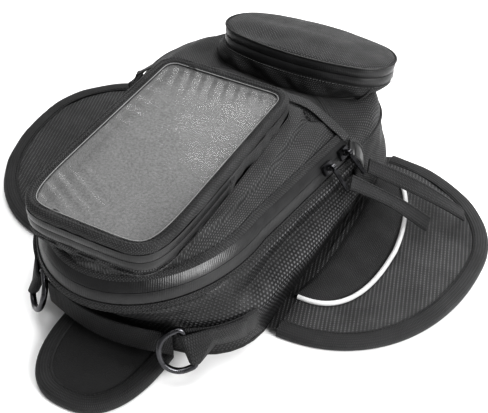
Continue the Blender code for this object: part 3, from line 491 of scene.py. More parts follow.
def ribbed(name, colour, pitch=1.1 * MM, rough=0.65, dark=0.15, bright=2.4):
    """Binding tape and webbing: short ribs in staggered rows."""
    look = Look(name, colour, rough, spec=0.36)
    x, y = look.uv()
    row = look.math("FLOOR", look.math("DIVIDE", y, 1.6 * pitch))
    shift = look.math("MULTIPLY", look.math("FLOORED_MODULO", row, 2), 0.5)
    across = look.math("ADD", look.math("DIVIDE", x, pitch), shift)
    ribs = look.math("ABSOLUTE", look.math("SINE", look.math("MULTIPLY", across, math.pi)))
    lines = look.math("ABSOLUTE", look.math("SINE", look.math("MULTIPLY", y, math.pi / (1.6 * pitch))))
    height = look.math("MULTIPLY", ribs, ranged(look, lines, 0.45, 1))
    look.bump(height, 0.4 * MM)
    # Painted shade and highlight: colour runs from dark between the ribs to bright on the rib tops.
    look.tint(ranged(look, height, dark, bright), look.noise(50, low=0.8, high=1.2),
              look.noise(1100, low=0.82, high=1.18))
    look.set("Sheen Weight", 0.05)
    return look.mat


def dimpled(name):
    """Coated fabric embossed with rows of round dimples."""
    look = Look(name, (0.018, 0.018, 0.0185), 0.36, spec=0.4)
    x, y = look.uv()
    pitch = 3.3 * MM
    row_height = pitch * 0.5 * math.sqrt(3)
    rows = look.math("DIVIDE", y, row_height)
    row = look.math("FLOOR", rows)
    shift = look.math("MULTIPLY", look.math("FLOORED_MODULO", row, 2), 0.5)
    across = look.math("ADD", look.math("DIVIDE", x, pitch), shift)
    du = look.math("MULTIPLY", look.math("SUBTRACT", look.math("FRACT", across), 0.5), pitch)
    dv = look.math("MULTIPLY", look.math("SUBTRACT", look.math("FRACT", rows), 0.5), row_height)
    far = look.math("SQRT", look.math("ADD", look.math("MULTIPLY", du, du),
                                      look.math("MULTIPLY", dv, dv)))
    cell = look.node("MapRange", interpolation_type="SMOOTHSTEP")
    cell.inputs["From Min"].default_value = 0.55 * MM
    cell.inputs["From Max"].default_value = 1.25 * MM
    cell.inputs["To Min"].default_value = 1
    cell.inputs["To Max"].default_value = 0
    look.link(far, cell.inputs["Value"])
    dot = cell.outputs[0]
    look.bump(dot, 0.6 * MM)
    # Painted highlight: the raised dots are tinted lighter than the ground between them, and much lighter
    # where the wall's mask attribute is high.
    painted_dot_highlight = look.node("Attribute", attribute_name="painted_dot_highlight").outputs["Fac"]
    look.tint(look.math("ADD", 0.6, look.math("MULTIPLY", dot, ranged(look, painted_dot_highlight, 1.6, 7.0))),
              look.noise(30, low=0.85, high=1.15))
    look.rough(look.math("SUBTRACT", look.noise(80, low=0.38, high=0.5),
                         look.math("MULTIPLY", dot, 0.1)))
    look.set("Coat Weight", 0.06)
    look.set("Coat Roughness", 0.35)
    return look.mat


def coated(name, colour=(0.016, 0.016, 0.0165), rough=0.34):
    """The smooth coated face of a zipper's tape, faintly ribbed over its coil."""
    look = Look(name, colour, rough)
    x, _ = look.uv()
    ribs = look.math("SINE", look.math("MULTIPLY", x, 2 * math.pi / (1.6 * MM)))
    look.bump(ribs, 0.035 * MM)
    look.bump(look.noise(160, low=0, high=1), 0.08 * MM)
    look.tint(look.noise(45, low=0.8, high=1.2), look.noise(700, low=0.92, high=1.08))
    look.rough(look.noise(110, low=rough - 0.06, high=rough + 0.1))
    look.set("Coat Weight", 0.08)
    look.set("Coat Roughness", 0.3)
    return look.mat


def brushed(name, colour, grain=1500, rough=0.92, spread=0.35):
    """Napped fabric: fine fibres with a soft sheen."""
    look = Look(name, colour, rough, spec=0.15)
    look.tint(look.noise(grain, detail=5, low=1 - spread, high=1 + spread),
              look.noise(26, low=0.88, high=1.12))
    look.bump(look.noise(grain, detail=5), 0.35 * MM)
    look.set("Sheen Weight", 0.12)
    look.set("Sheen Roughness", 0.6)
    return look.mat


def thread(name, colour):
    look = Look(name, colour, 0.6)
    look.tint(look.noise(1500, low=0.8, high=1.2))
    return look.mat


def metal(name, colour, rough=0.28):
    look = Look(name, colour, rough, metal=1.0)
    look.rough(look.noise(260, low=rough - 0.08, high=rough + 0.14))
    look.bump(look.noise(500), 0.03 * MM)
    look.tint(look.noise(120, low=0.85, high=1.1))
    return look.mat


def rubber(name):
    look = Look(name, (0.03, 0.03, 0.03), 0.85)
    look.bump(look.noise(700, detail=2), 0.4 * MM)
    look.tint(look.noise(60, low=0.8, high=1.2))
    return look.mat


def clear_film(name):
    look = Look(name, (0.6, 0.6, 0.6), 0.1, spec=0.5)
    look.set("Alpha", 0.09)
    look.bump(look.noise(40, detail=1), 0.2 * MM)
    look.rough(look.noise(90, low=0.12, high=0.26))
    look.tint(look.noise(50, low=0.92, high=1.0))
    look.mat.surface_render_method = "BLENDED"
    return look.mat


M = {
    # In these weaves, dark sets the painted shade in the thread gaps and bright sets the painted highlight on
    # the thread tops.
    "oxford": oxford("oxford_weave"),
    "oxford_diag": oxford("oxford_weave_turned", turn=math.radians(45)),
    "wing": oxford("flap_weave", colour=(0.029, 0.029, 0.0295), pitch=1.35 * MM, dark=0.03, bright=4.2,
                   turn=math.radians(28), floats=3),
    "twill": oxford("fine_weave", colour=(0.022, 0.022, 0.0225), pitch=1.15 * MM, dark=0.2,
                    bright=2.6),
    "dimpled": dimpled("dimpled_coating"),
    "binding": oxford("binding_weave", colour=(0.022, 0.022, 0.0225), pitch=1.15 * MM),
    "edge": ribbed("flap_edge_tape", (0.018, 0.018, 0.0185), pitch=1.3 * MM),
    "webbing": ribbed("strap_webbing", (0.013, 0.013, 0.0135), pitch=1.5 * MM),
    "zipper": coated("zipper_face"),
    "coil": coated("zipper_coil", colour=(0.012, 0.012, 0.012), rough=0.45),
    "napped": brushed("napped_face", (0.02, 0.02, 0.0205), spread=0.4),
    "lining": brushed("grey_pocket_lining", (0.058, 0.058, 0.058), grain=600, spread=0.7),
    "inner": brushed("inner_lining", (0.06, 0.06, 0.062), grain=1200),
    "foam": brushed("foam_sheet", (0.1, 0.1, 0.1), grain=700),
    "thread": thread("black_thread", (0.02, 0.02, 0.02)),
    "pale_thread": thread("grey_thread", (0.07, 0.07, 0.07)),
    "piping": brushed("reflective_piping", (0.55, 0.55, 0.55), grain=1800, rough=0.5, spread=0.08),
    # The film rim's pale grey is a painted highlight along the film's edge.
    "rim": brushed("film_rim_painted_highlight", (0.2, 0.2, 0.2), grain=1500, rough=0.35, spread=0.2),
    "film": clear_film("clear_film"),
    "metal": metal("dark_nickel", (0.085, 0.085, 0.09)),
    "steel": metal("magnet_steel", (0.5, 0.5, 0.5)),
    "rubber": rubber("anti_slip_rubber"),
    "board": coated("stiff_board", colour=(0.04, 0.04, 0.04), rough=0.5),
}


# ---------------------------------------------------------- body outlines
def level_at(z):
    """Outline sizes at a height, on a smooth curve through the frame's levels."""
    zs = LEVELS[:, 0]
    z = min(max(z, zs[0]), zs[-1])
    k = min(int(np.searchsorted(zs, z, side="right")) - 1, len(zs) - 2)
    k = max(k, 0)
    t = (z - zs[k]) / (zs[k + 1] - zs[k])
    straight = LEVELS[k] * (1 - t) + LEVELS[k + 1] * t
    eased = t * t * (3 - 2 * t)
    curved = LEVELS[k] * (1 - eased) + LEVELS[k + 1] * eased
    return 0.4 * straight + 0.6 * curved


def nose_plan(level, y_end, count, inset=0.0):
    """Plan path from the left end round the nose to the right end."""
    _, front, reach, front_power, rear = level[:5]
    nose = quarter(front, reach, front_power)
    right = np.stack([nose[:, 0], NOSE_Y - nose[:, 1]], 1)
    ys = np.linspace(NOSE_Y, y_end, 20)[1:]
    xs = front + (rear - front) * (ys - NOSE_Y) / (TAIL_Y - NOSE_Y)
    right = np.vstack([right, np.stack([xs, ys], 1)])
    left = right[:0:-1] * np.array([-1, 1])
    path = smooth(resample(np.vstack([left, right]), 4 * count), 30)
    return resample(outset(path, -inset), count)


def tail_plan(level, y_start, count, inset=0.0):
    """Plan path from the right side round the tail to the left side."""
    _, front, _, _, rear, back, power = level
    ys = np.linspace(y_start, TAIL_Y, 8)[:-1]
    xs = front + (rear - front) * (ys - NOSE_Y) / (TAIL_Y - NOSE_Y)
    tail = quarter(rear, back, power)[::-1]
    right = np.vstack([np.stack([xs, ys], 1), tail + np.array([0, TAIL_Y])])
    left = right[-2::-1] * np.array([-1, 1])
    path = smooth(resample(np.vstack([right, left]), 4 * count), 30)
    return resample(outset(path, -inset), count)


def lifted(path, z):
    z = np.broadcast_to(z, len(path))
    return np.column_stack([path, z])


def make_walls():
    heights = np.linspace(LEVELS[0][0], RIM_Z, 46)
    grid = np.stack([lifted(nose_plan(level_at(z), SIDE_END_Y, 200), z) for z in heights])
    out = grid_normals(grid)
    side = np.clip((grid[..., 1] + 0.07) / 0.05, 0, 1)
    z = grid[..., 2]
    ridge = np.exp(-((z - 0.0695) / 0.0035) ** 2)
    crease = np.exp(-((z - 0.0585) / 0.0055) ** 2)
    swell_z = 0.040 + 0.10 * np.clip(grid[..., 1], 0, 0.09)
    swell = np.exp(-((z - swell_z) / 0.011) ** 2) * np.exp(-((grid[..., 1] + 0.01) / 0.07) ** 2)
    push = (0.8 * MM * ridge - 2.6 * MM * crease) * side + 3.0 * MM * swell
    push += 0.7 * MM * ripple(grid, 0.05, 3) * np.clip((grid[..., 2] - 0.01) / 0.02, 0, 1)
    push += 0.25 * MM * ripple(grid, 0.014, 4)
    grid = grid + out * (push - 0.4 * MM)[..., None]
    wall = cloth("coated_wall", grid, M["dimpled"], 2.4 * MM)
    # Mask of painted highlight on the dimple dots: strongest along the upper ridge and on the lower swell,
    # where light catches them.
    painted_highlight_mask = np.clip(0.85 * ridge * side + 1.0 * swell, 0, 1)
    layer = wall.data.attributes.new("painted_dot_highlight", "FLOAT", "POINT")
    layer.data.foreach_set("value", np.tile(painted_highlight_mask.reshape(-1), 2).astype(np.float32))
    settle(wall, "root", "coated_fabric", "side_wall")
    grid = np.stack([lifted(tail_plan(level_at(z), SIDE_END_Y + 1.2 * MM, 110), z) for z in heights])
    out = grid_normals(grid)
    hollow = bump_at(grid, (0.108, 0.098, 0.062), (0.03, 0.02, 0.022))
    hollow += bump_at(grid, (-0.108, 0.098, 0.062), (0.03, 0.02, 0.022))
    push = 1.0 * MM * ripple(grid, 0.045, 8) + 0.4 * MM * ripple(grid, 0.018, 9) - 3.2 * MM * hollow
    grid = grid + out * (push - 0.5 * MM)[..., None]
    tail = cloth("woven_tail", grid, M["oxford"], 2 * MM)
    settle(tail, "root", "oxford_fabric", "tail_wall")
    liner = np.stack([lifted(np.vstack([nose_plan(level_at(z), SIDE_END_Y, 120, 5.2 * MM)[:-1],
                                        tail_plan(level_at(z), SIDE_END_Y, 60, 5.2 * MM)[:-1]]), z)
                      for z in np.linspace(7.4 * MM, 73 * MM, 16)])
    liner = liner + grid_normals(liner, True) * (0.5 * MM * ripple(liner, 0.03, 12))[..., None]
    padded = cloth("padded_liner", liner, M["inner"], 3.4 * MM, wrap=True)
    settle(padded, "root", "foam", "foam_liner")


def rim_path(z, inset, count=260, y_end=None):
    return lifted(nose_plan(LEVELS[-1], y_end or ZIP_END_Y, count, inset), z)


def band(name, low_inset, low_z, high_inset, high_z, mat, thick, bow, count=260, share=(0, 1)):
    """A narrow upright strip round the rim: a share of one that bows outwards in its middle."""
    ts = np.linspace(0, 1, 8)
    grid = np.stack([rim_path(low_z + (high_z - low_z) * t, low_inset + (high_inset - low_inset) * t,
                              count) for t in ts])
    curve = np.sin(math.pi * (share[0] + (share[1] - share[0]) * ts))[:, None] * bow
    grid = grid + grid_normals(grid) * curve[..., None]
    return cloth(name, grid, mat, thick)


def make_main_zipper():
    low = band("zip_band_lower", 0, ZIP_LOW + 0.2 * MM, ZIP_LEAN, ZIP_SPLIT, M["zipper"],
               1.3 * MM, 1.7 * MM, share=(0.08, 0.5))
    settle(low, "root", "coated_zipper", "main_tape_lower")
    high = band("zip_band_upper", ZIP_LEAN, ZIP_SPLIT + GAP, 2 * ZIP_LEAN, ZIP_TOP - 0.2 * MM,
                M["zipper"], 1.3 * MM, 1.7 * MM, share=(0.5, 0.92))
    settle(high, "lid", "coated_zipper", "main_tape_upper")
    coil_path = rim_path(ZIP_SPLIT + 0.2 * MM, ZIP_LEAN + 0.3 * MM, 420)
    settle(tube("zip_coil", coil_path, 1.1 * MM, M["coil"], sides=8), "root", "coated_zipper")
    level = RIM_Z - 6.5 * MM
    tape = band("wall_binding_tape", -1.9 * MM, level, -1.2 * MM, RIM_Z + 0.2 * MM, M["binding"],
                1.2 * MM, 0.5 * MM)
    settle(tape, "root", "binding_tape", "wall_binding")
    for index, z in enumerate((level + 1.2 * MM, RIM_Z - 1.4 * MM)):
        path = rim_path(z, -2.3 * MM, 400)
        _, right = frames_on(path)
        settle(stitches(f"binding_stitch_{index}", path, right, M["thread"]), "root")
    tape = band("lid_binding_tape", 2 * ZIP_LEAN - 0.9 * MM, ZIP_TOP + 0.3 * MM,
                2 * ZIP_LEAN + 2.4 * MM, ZIP_TOP + 5.6 * MM, M["binding"], 1.2 * MM, 0.5 * MM)
    settle(tape, "lid", "binding_tape")
    path = rim_path(ZIP_TOP + 4.4 * MM, 2 * ZIP_LEAN + 0.9 * MM, 400)
    _, right = frames_on(path)
    settle(stitches("lid_binding_stitch", path, unit(right + 0.6 * UP), M["thread"]), "lid")


# ------------------------------------------------------------------- lid
def crest_height(x, low, side):
    share = np.clip((side - np.abs(x)) / (side - CREST), 0, 1)
    return low + (HINGE_Z - low) * np.sin(0.5 * math.pi * share)


def pocket_base(y):
    share = (y - POCKET_FRONT) / (POCKET_REAR - POCKET_FRONT)
    return (106 + 12 * share) * MM


def pocket_plan(count, inset=0.0, corner=16 * MM):
    """Closed pocket outline, anticlockwise from the middle of its rear edge."""
    rear = [(POCKET_HALF - corner + corner * math.sin(a), POCKET_REAR - corner + corner * math.cos(a))
            for a in np.linspace(0, 0.5 * math.pi, 12)]
    nose = quarter(POCKET_HALF, NOSE_Y - POCKET_FRONT, 6)
    right = np.vstack([[(0, POCKET_REAR)], rear, [(POCKET_HALF, NOSE_Y)],
                       (np.array([0, NOSE_Y]) + nose[::-1] * np.array([1, -1]))[1:]])
    left = right[-2:0:-1] * np.array([-1, 1])
    path = np.vstack([right, left])[::-1]
    path = smooth(resample(path, 600, True), 10, True)
    return resample(outset(path, -inset, True), count, True)


def make_zip_ends():
    """Each end of the main zipper, turned down over the rim beside the lid's hinge."""
    route = np.array([(98.6, 74.5, 85.8), (101, 78.5, 84.5), (103.9, 82, 79), (105.6, 84, 72),
                      (106.5, 85, 64)]) * MM
    for sign, side in ((1, "right"), (-1, "left")):
        path = smooth(resample(route, 30), 3) * np.array([sign, 1, 1])
        tangent = unit(np.gradient(path, axis=0))
        out = np.array([sign * 0.93, 0.3, 0.2])
        normal = unit(out - tangent * (tangent @ out)[:, None])
        across = unit(np.cross(tangent, normal)) * sign
        path = path + normal * 1.1 * MM
        tape = sweep(f"zip_end_{side}", path, across, normal,
                     rounded(12.5 * MM, 1.4 * MM, 0.6 * MM), M["zipper"])
        settle(tape, "root", "coated_zipper")
        for edge in (-1, 1):
            line = path + across * edge * 6.4 * MM + normal * 0.2 * MM
            binding = sweep(f"zip_end_{side}_edge_{edge + 1}", line, across, normal,
                            rounded(2.8 * MM, 2.0 * MM, 0.9 * MM), M["binding"])
            settle(binding, "root", "binding_tape")


def make_lid():
    """Woven lid from the zipper to the pocket's foot, one closed ring of cloth."""
    count = 300
    low = ZIP_TOP + 0.5 * MM
    rim = nose_plan(LEVELS[-1], ZIP_END_Y, 220, 2 * ZIP_LEAN + 1 * MM)
    side = rim[-1][0]
    angle = np.linspace(0, math.pi, 80)[1:-1]
    rear = np.stack([side * np.cos(angle), np.full(len(angle), ZIP_END_Y)], 1)
    outer = np.vstack([lifted(rim, low), lifted(rear, crest_height(rear[:, 0], low, side))])
    outer = resample(outer, count, True)
    start = int(np.argmin(np.abs(outer[:, 0]) + (outer[:, 1] < 0)))
    outer = np.roll(outer, -start, 0)
    foot = pocket_plan(count, -0.6 * MM)
    foot = lifted(foot, pocket_base(foot[:, 1]) + 1.5 * MM)
    # the two rings are paired point for point in their own order
    order = np.arange(count)
    inner = foot[order]
    rows = []
    for t in np.linspace(0, 1, 22):
        row = outer * (1 - t) + inner * t
        rise = math.sin(0.5 * math.pi * t) ** 0.8
        row[:, 2] = outer[:, 2] * (1 - rise) + inner[:, 2] * rise
        rows.append(row)
    grid = np.stack(rows)
    if grid_normals(grid, True)[10, :, 2].mean() < 0:
        grid = grid[:, ::-1]
    t = np.linspace(0, 1, 22)[:, None] * np.ones((1, count))
    free = np.sin(math.pi * t)
    right_side = np.clip((np.abs(grid[..., 0]) - 0.05) / 0.02, 0, 1)
    folds = np.sin(2 * math.pi * (t * 1.6 + 0.35 * ripple(grid, 0.12, 21)))
    push = free * (1.9 * MM * folds * right_side + 1.2 * MM * ripple(grid, 0.04, 22)
                   + 0.6 * MM * ripple(grid, 0.016, 23))
    push -= 2.6 * MM * free * right_side
    grid = grid + grid_normals(grid, True) * push[..., None]
    top = cloth("lid_cloth", grid, M["oxford"], 1.6 * MM, wrap=True, plan=True)
    settle(top, "lid", "oxford_fabric", "lid_panel")


def make_lid_fold():
    """Cloth over the line that the lid turns on."""
    side = 96 * MM
    low = ZIP_TOP + 1 * MM
    xs = np.linspace(side, -side, 70)
    rows = []
    for t in np.linspace(0, 1, 9):
        y = HINGE_Y - 4.5 * MM + 9 * MM * t
        z = crest_height(xs, low, side) + 0.9 * MM * math.sin(math.pi * t) ** 0.5 + 0.2 * MM
        rows.append(np.stack([xs * (1 - 0.004 * t), np.full(len(xs), y), z], 1))
    grid = np.stack(rows)
    grid = grid[:, ::-1]
    if grid_normals(grid)[4, :, 2].mean() < 0:
        grid = grid[:, ::-1]
    grid[..., 2] += 0.5 * MM * ripple(grid, 0.03, 31)
    fold = cloth("lid_fold", grid, M["oxford"], 1.0 * MM, plan=True)
    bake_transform(fold)


def make_pocket():
    zip_low = FRAME_LOW - 14 * MM
    count = 320
    rows = []
    for t in np.linspace(0, 1, 18):
        bow = math.sin(math.pi * t)
        path = pocket_plan(count, -0.8 * MM * bow)
        low = pocket_base(path[:, 1]) + 0.6 * MM
        high = FRAME_LOW - 0.4 * MM
        rows.append(np.column_stack([path, low + (high - low) * t]))
    grid = np.stack(rows)
    out = grid_normals(grid, True)
    if (out[9, :, :2] * grid[9, :, :2]).sum() < 0:
        grid = grid[:, ::-1]
        out = grid_normals(grid, True)
    front = np.clip((FLAP_Y - 6 * MM - grid[..., 1]) / (6 * MM), 0, 1)
    under = np.clip((zip_low + 2 * MM - grid[..., 2]) / (3 * MM), 0, 1)
    pinch = bump_at(grid, (POCKET_HALF, -0.095, 0.112), (0.02, 0.012, 0.02))
    push = 0.8 * MM * ripple(grid, 0.03, 41) + 0.45 * MM * ripple(grid, 0.013, 42) - 1.6 * MM * pinch
    push = np.clip(push, -1.6 * MM, 1.6 * MM)
    push = push * (1 - front * (1 - under)) - 2.2 * MM * front * (1 - under)
    grid = grid + out * push[..., None]
    wall = cloth("pocket_side", grid, M["oxford_diag"], 1.3 * MM, wrap=True)
    settle(wall, "lid", "oxford_fabric", "pocket_wall")
    make_pocket_zip(zip_low)
    make_window()
    make_pocket_floor()


def pocket_front_path(z, inset, y_end, count=200):
    path = pocket_plan(900, inset)
    kept = path[path[:, 1] < y_end]
    jump = int(np.argmax(np.linalg.norm(np.diff(kept, axis=0, append=kept[:1]), axis=1)))
    kept = np.roll(kept, -(jump + 1), 0)
    if kept[0][0] > 0:
        kept = kept[::-1]
    return lifted(resample(kept, count), z)


def make_pocket_zip(zip_low):
    y_end = FLAP_Y - 5 * MM
    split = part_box("pocket_tape_lower")[1].z
    parts = (("pocket_zip_lower", zip_low + 0.4 * MM, split, "lid", "pocket_tape_lower"),
             ("pocket_zip_upper", split + GAP, FRAME_LOW - 0.3 * MM, "pocket_flap", "pocket_tape_upper"))
    for name, low, high, body, node in parts:
        rows = [pocket_front_path(low + (high - low) * t, -0.3 * MM - 0.5 * MM * math.sin(math.pi * t), y_end)
                for t in np.linspace(0, 1, 6)]
        settle(cloth(name, np.stack(rows), M["zipper"], 1.2 * MM), body, "coated_zipper", node)
    coil = pocket_front_path(split + 0.2 * MM, 1.6 * MM, y_end)
    settle(tube("pocket_zip_coil", coil, 1.0 * MM, M["coil"], sides=8), "lid", "coated_zipper")
    for sign in (-1, 1):
        end = np.array([sign * (POCKET_HALF + 0.2 * MM), y_end + 2 * MM, split])
        path = np.array([end - [0, 3 * MM, 0], end, end + [0, 2.5 * MM, 0]])
        knob = sweep(f"pocket_zip_stop_{sign + 1}", resample(path, 7), np.array([1.0, 0, 0]), UP,
                     rounded(2.4 * MM, 9 * MM, 1.1 * MM), M["zipper"])
        settle(knob, "lid", "binding_tape")


def make_window():
    """Woven border folded over the pocket's rim, and the clear film inside it."""
    count = 340
    high = FRAME_TOP
    profile = [(0.0, FRAME_LOW), (-0.5 * MM, FRAME_LOW + 2.4 * MM), (-0.3 * MM, high - 1.9 * MM),
               (0.7 * MM, high - 0.5 * MM), (2.1 * MM, high + 0.2 * MM), (3.9 * MM, high - 0.1 * MM),
               (5.6 * MM, high - 0.9 * MM), (7.0 * MM, high - 2.0 * MM), (7.3 * MM, FILM_Z + 0.35 * MM)]
    rows = []
    for inset, z in profile:
        rows.append(lifted(pocket_plan(count, inset), z))
    grid = np.stack(rows)
    out = grid_normals(grid, True)
    if out[5, :, 2].mean() < 0:
        grid = grid[:, ::-1]
        out = grid_normals(grid, True)
    grid = grid + out * (0.3 * MM * ripple(grid, 0.03, 51) + 0.15 * MM * ripple(grid, 0.01, 52))[..., None]
    border = cloth("window_border", grid, M["binding"], 1.4 * MM, wrap=True)
    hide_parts("window_frame_front", "window_frame_rear")
    bend(border)
    for index, inset in enumerate((2.6 * MM, 5.4 * MM)):
        z = high + (0.15 * MM if index == 0 else -0.75 * MM)
        row = stitches(f"window_stitch_{index}", lifted(pocket_plan(500, inset), z), UP, M["thread"],
                       closed=True, pitch=2.8 * MM)
        bend(row)
    # A thin bead round the film's edge; it is real, and its pale grey is a painted highlight line where the
    # edge catches light.
    rim = tube("window_edge_painted_highlight", lifted(pocket_plan(count, 7.5 * MM), FILM_Z + 0.7 * MM), 0.45 * MM,
               M["rim"], closed=True, sides=8)
    bend(rim)
    inset = 6.2 * MM
    edge = pocket_plan(300, inset)
    rows = []
    for share in np.linspace(1, 0.02, 46):
        plan = edge * share + np.array([0, 0.5 * (POCKET_FRONT + POCKET_REAR)]) * (1 - share)
        rows.append(lifted(plan, FILM_Z - 0.35 * MM))
    grid = np.stack(rows)
    if grid_normals(grid, True)[10, :, 2].mean() < 0:
        grid = grid[:, ::-1]
    inside = np.linspace(1, 0.02, 46)[:, None]
    slack = 1 - inside ** 4
    corner = bump_at(grid, (-0.036, -0.108, FILM_Z), (0.03, 0.022, 0.1))
    far = bump_at(grid, (0.0, 0.05, FILM_Z), (0.06, 0.016, 0.1))
    left = bump_at(grid, (-0.046, 0.0, FILM_Z), (0.012, 0.07, 0.1))
    lift = 0.35 * MM * ripple(grid, 0.06, 61) * slack
    lift += 0.9 * MM * corner * np.sin((grid[..., 0] * 0.5 + grid[..., 1]) * 2 * math.pi / 0.011)
    lift += 0.5 * MM * far * np.sin((grid[..., 0] + 0.3 * grid[..., 1]) * 2 * math.pi / 0.010)
    lift += 0.4 * MM * left * np.sin(grid[..., 1] * 2 * math.pi / 0.014)
    grid[..., 2] += lift * np.clip((1 - inside) * 14, 0, 1) - 0.6 * MM * slack
    film = cloth("window_film", grid, M["film"], 0.35 * MM, wrap=True)
    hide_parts("window_film_front", "window_film_rear")
    bend(film)


def bend(piece):
    """Bake a window piece's placement into its mesh."""
    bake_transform(piece)


def make_pocket_floor():
    edge = pocket_plan(220, 3.4 * MM)
    rows = []
    shares = np.linspace(1, 0.02, 30)
    for share in shares:
        plan = edge * share + np.array([0, 0.5 * (POCKET_FRONT + POCKET_REAR)]) * (1 - share)
        rows.append(lifted(plan, pocket_base(plan[:, 1]) + 3.4 * MM))
    grid = np.stack(rows)
    if grid_normals(grid, True)[10, :, 2].mean() < 0:
        grid = grid[:, ::-1]
    puff = 1 - shares[:, None] ** 8
    grid[..., 2] += puff * (1.0 * MM + 0.3 * MM * ripple(grid, 0.035, 71))
    pad = cloth("pocket_pad_cloth", grid, M["lining"], 2.6 * MM, wrap=True, plan=True)
    settle(pad, "lid", "grey_lining", "pocket_pad")
    rows = []
    for t in np.linspace(0, 1, 8):
        path = pocket_plan(220, 4.6 * MM)
        low = pocket_base(path[:, 1]) + 4.2 * MM
        rows.append(np.column_stack([path, low + (FILM_Z - 1.8 * MM - low) * t]))
    grid = np.stack(rows)
    settle(cloth("pocket_lining", grid, M["lining"], 0.5 * MM, wrap=True), "lid", "grey_lining")


# ----------------------------------------------------------------- pouch
def oval(centre, half_length, half_depth, end_radius, count=200):
    """Closed four-arc oval, anticlockwise from its right end."""
    reach = half_length - end_radius
    large = (reach ** 2 + half_depth ** 2 - end_radius ** 2) / (2 * (half_depth - end_radius))
    turn = math.atan2(large - half_depth, reach)
    a = np.linspace(0, turn, 20)
    ends = np.stack([reach + end_radius * np.cos(a), end_radius * np.sin(a)], 1)
    b = np.linspace(turn, 0.5 * math.pi, 20)[1:]
    long = np.stack([large * np.cos(b), large * np.sin(b) - (large - half_depth)], 1)
    first = np.vstack([ends, long])
    second = first[-2::-1] * np.array([-1, 1])
    upper = np.vstack([first, second])
    lower = -upper[1:-1]
    path = np.vstack([upper, lower])
    return resample(path, count, True) + np.array(centre)


def pouch_plan(z, grow=0.0, count=200):
    share = min(max((z - NECK_Z) / (POUCH_TOP_Z - NECK_Z), 0), 1)
    length, depth, end = POUCH_SIZE
    x = NECK_X + (POUCH_TOP_X - NECK_X) * share
    return oval((x, POUCH_Y), length + grow, depth + grow, end + grow, count)


def recline(points):
    """Tip the upright pouch back, the more the nearer to the top of its wall."""
    points = np.array(points, float)
    turn = POUCH_RECLINE * np.clip((points[..., 2] - NECK_Z) / (POUCH_TOP_Z - NECK_Z), 0, 1)
    base = np.minimum(points[..., 2], POUCH_TOP_Z)
    front = POUCH_Y - POUCH_SIZE[1]
    depth, height = points[..., 1] - front, points[..., 2] - base
    points[..., 1] = front + depth * np.cos(turn) + height * np.sin(turn)
    points[..., 2] = base - depth * np.sin(turn) + height * np.cos(turn)
    return points


def make_pouch():
    rows = []
    levels = np.linspace(NECK_Z - 1.5 * MM, POUCH_TOP_Z, 24)
    for z in levels:
        share = (z - levels[0]) / (levels[-1] - levels[0])
        neck = -4.2 * MM * (1 - share) ** 1.5
        rows.append(lifted(pouch_plan(z, neck + 1.6 * MM * math.sin(math.pi * share), 260), z))
    grid = np.stack(rows)
    share = np.linspace(0, 1, len(levels))[:, None]
    free = np.sin(math.pi * share) ** 0.7
    push = free * (1.7 * MM * ripple(grid, 0.04, 81) + 0.9 * MM * ripple(grid, 0.02, 82)
                   + 0.3 * MM * ripple(grid, 0.009, 83))
    dip = bump_at(grid, (-0.004, 0.103, 0.107), (0.012, 0.03, 0.012))
    push -= 3.0 * MM * dip
    grid = recline(grid + grid_normals(grid, True) * np.minimum(push, 1.6 * MM)[..., None])
    shell = cloth("pouch_cloth", grid, M["oxford_diag"], 1.4 * MM, wrap=True)
    settle(shell, "root", "oxford_fabric", "pouch_wall")
    seam = recline(lifted(pouch_plan(NECK_Z, -3.6 * MM, 240), NECK_Z - 0.4 * MM))
    settle(tube("pouch_neck_seam", seam, 1.0 * MM, M["coil"], closed=True, sides=8), "root",
           "binding_tape")
    path = recline(lifted(pouch_plan(POUCH_TOP_Z, 0.5 * MM, 300), POUCH_TOP_Z - 0.9 * MM))
    _, right = frames_on(path, True)
    settle(stitches("pouch_stitch", path, right, M["pale_thread"], closed=True, pitch=2.6 * MM,
                    length=1.7 * MM), "root")
    rows = []
    for s in np.linspace(0, 1, 10):
        z = NECK_Z + (POUCH_TOP_Z - 1 * MM - NECK_Z) * s
        ring = pouch_plan(z, 0.7 * MM + 1.2 * MM * math.sin(math.pi * s), 260)
        rows.append(lifted(ring[246:243:-1], z))
    strip = recline(np.stack(rows))
    settle(cloth("pouch_end_seam", strip, M["binding"], 0.8 * MM), "root", "binding_tape")
    make_pouch_zip()
    make_pouch_lid()
    grid = np.stack([lifted(pouch_plan(NECK_Z, -6 * MM, 120) * s + np.array([NECK_X, POUCH_Y]) * (1 - s),
                            NECK_Z + 2.2 * MM) for s in np.linspace(1, 0.03, 12)])
    grid[..., 2] += 0.3 * MM * ripple(grid, 0.03, 88)
    floor = cloth("pouch_base", grid[:, ::-1], M["inner"], 1.2 * MM, wrap=True)
    settle(floor, "root", "grey_lining", "pouch_floor")


def pouch_front(z, grow, count=240):
    path = pouch_plan(POUCH_TOP_Z, grow, 900)
    kept = path[path[:, 1] < POUCH_Y + 0.72 * POUCH_SIZE[1]]
    jump = int(np.argmax(np.linalg.norm(np.diff(kept, axis=0, append=kept[:1]), axis=1)))
    return lifted(resample(np.roll(kept, -(jump + 1), 0), count), z)


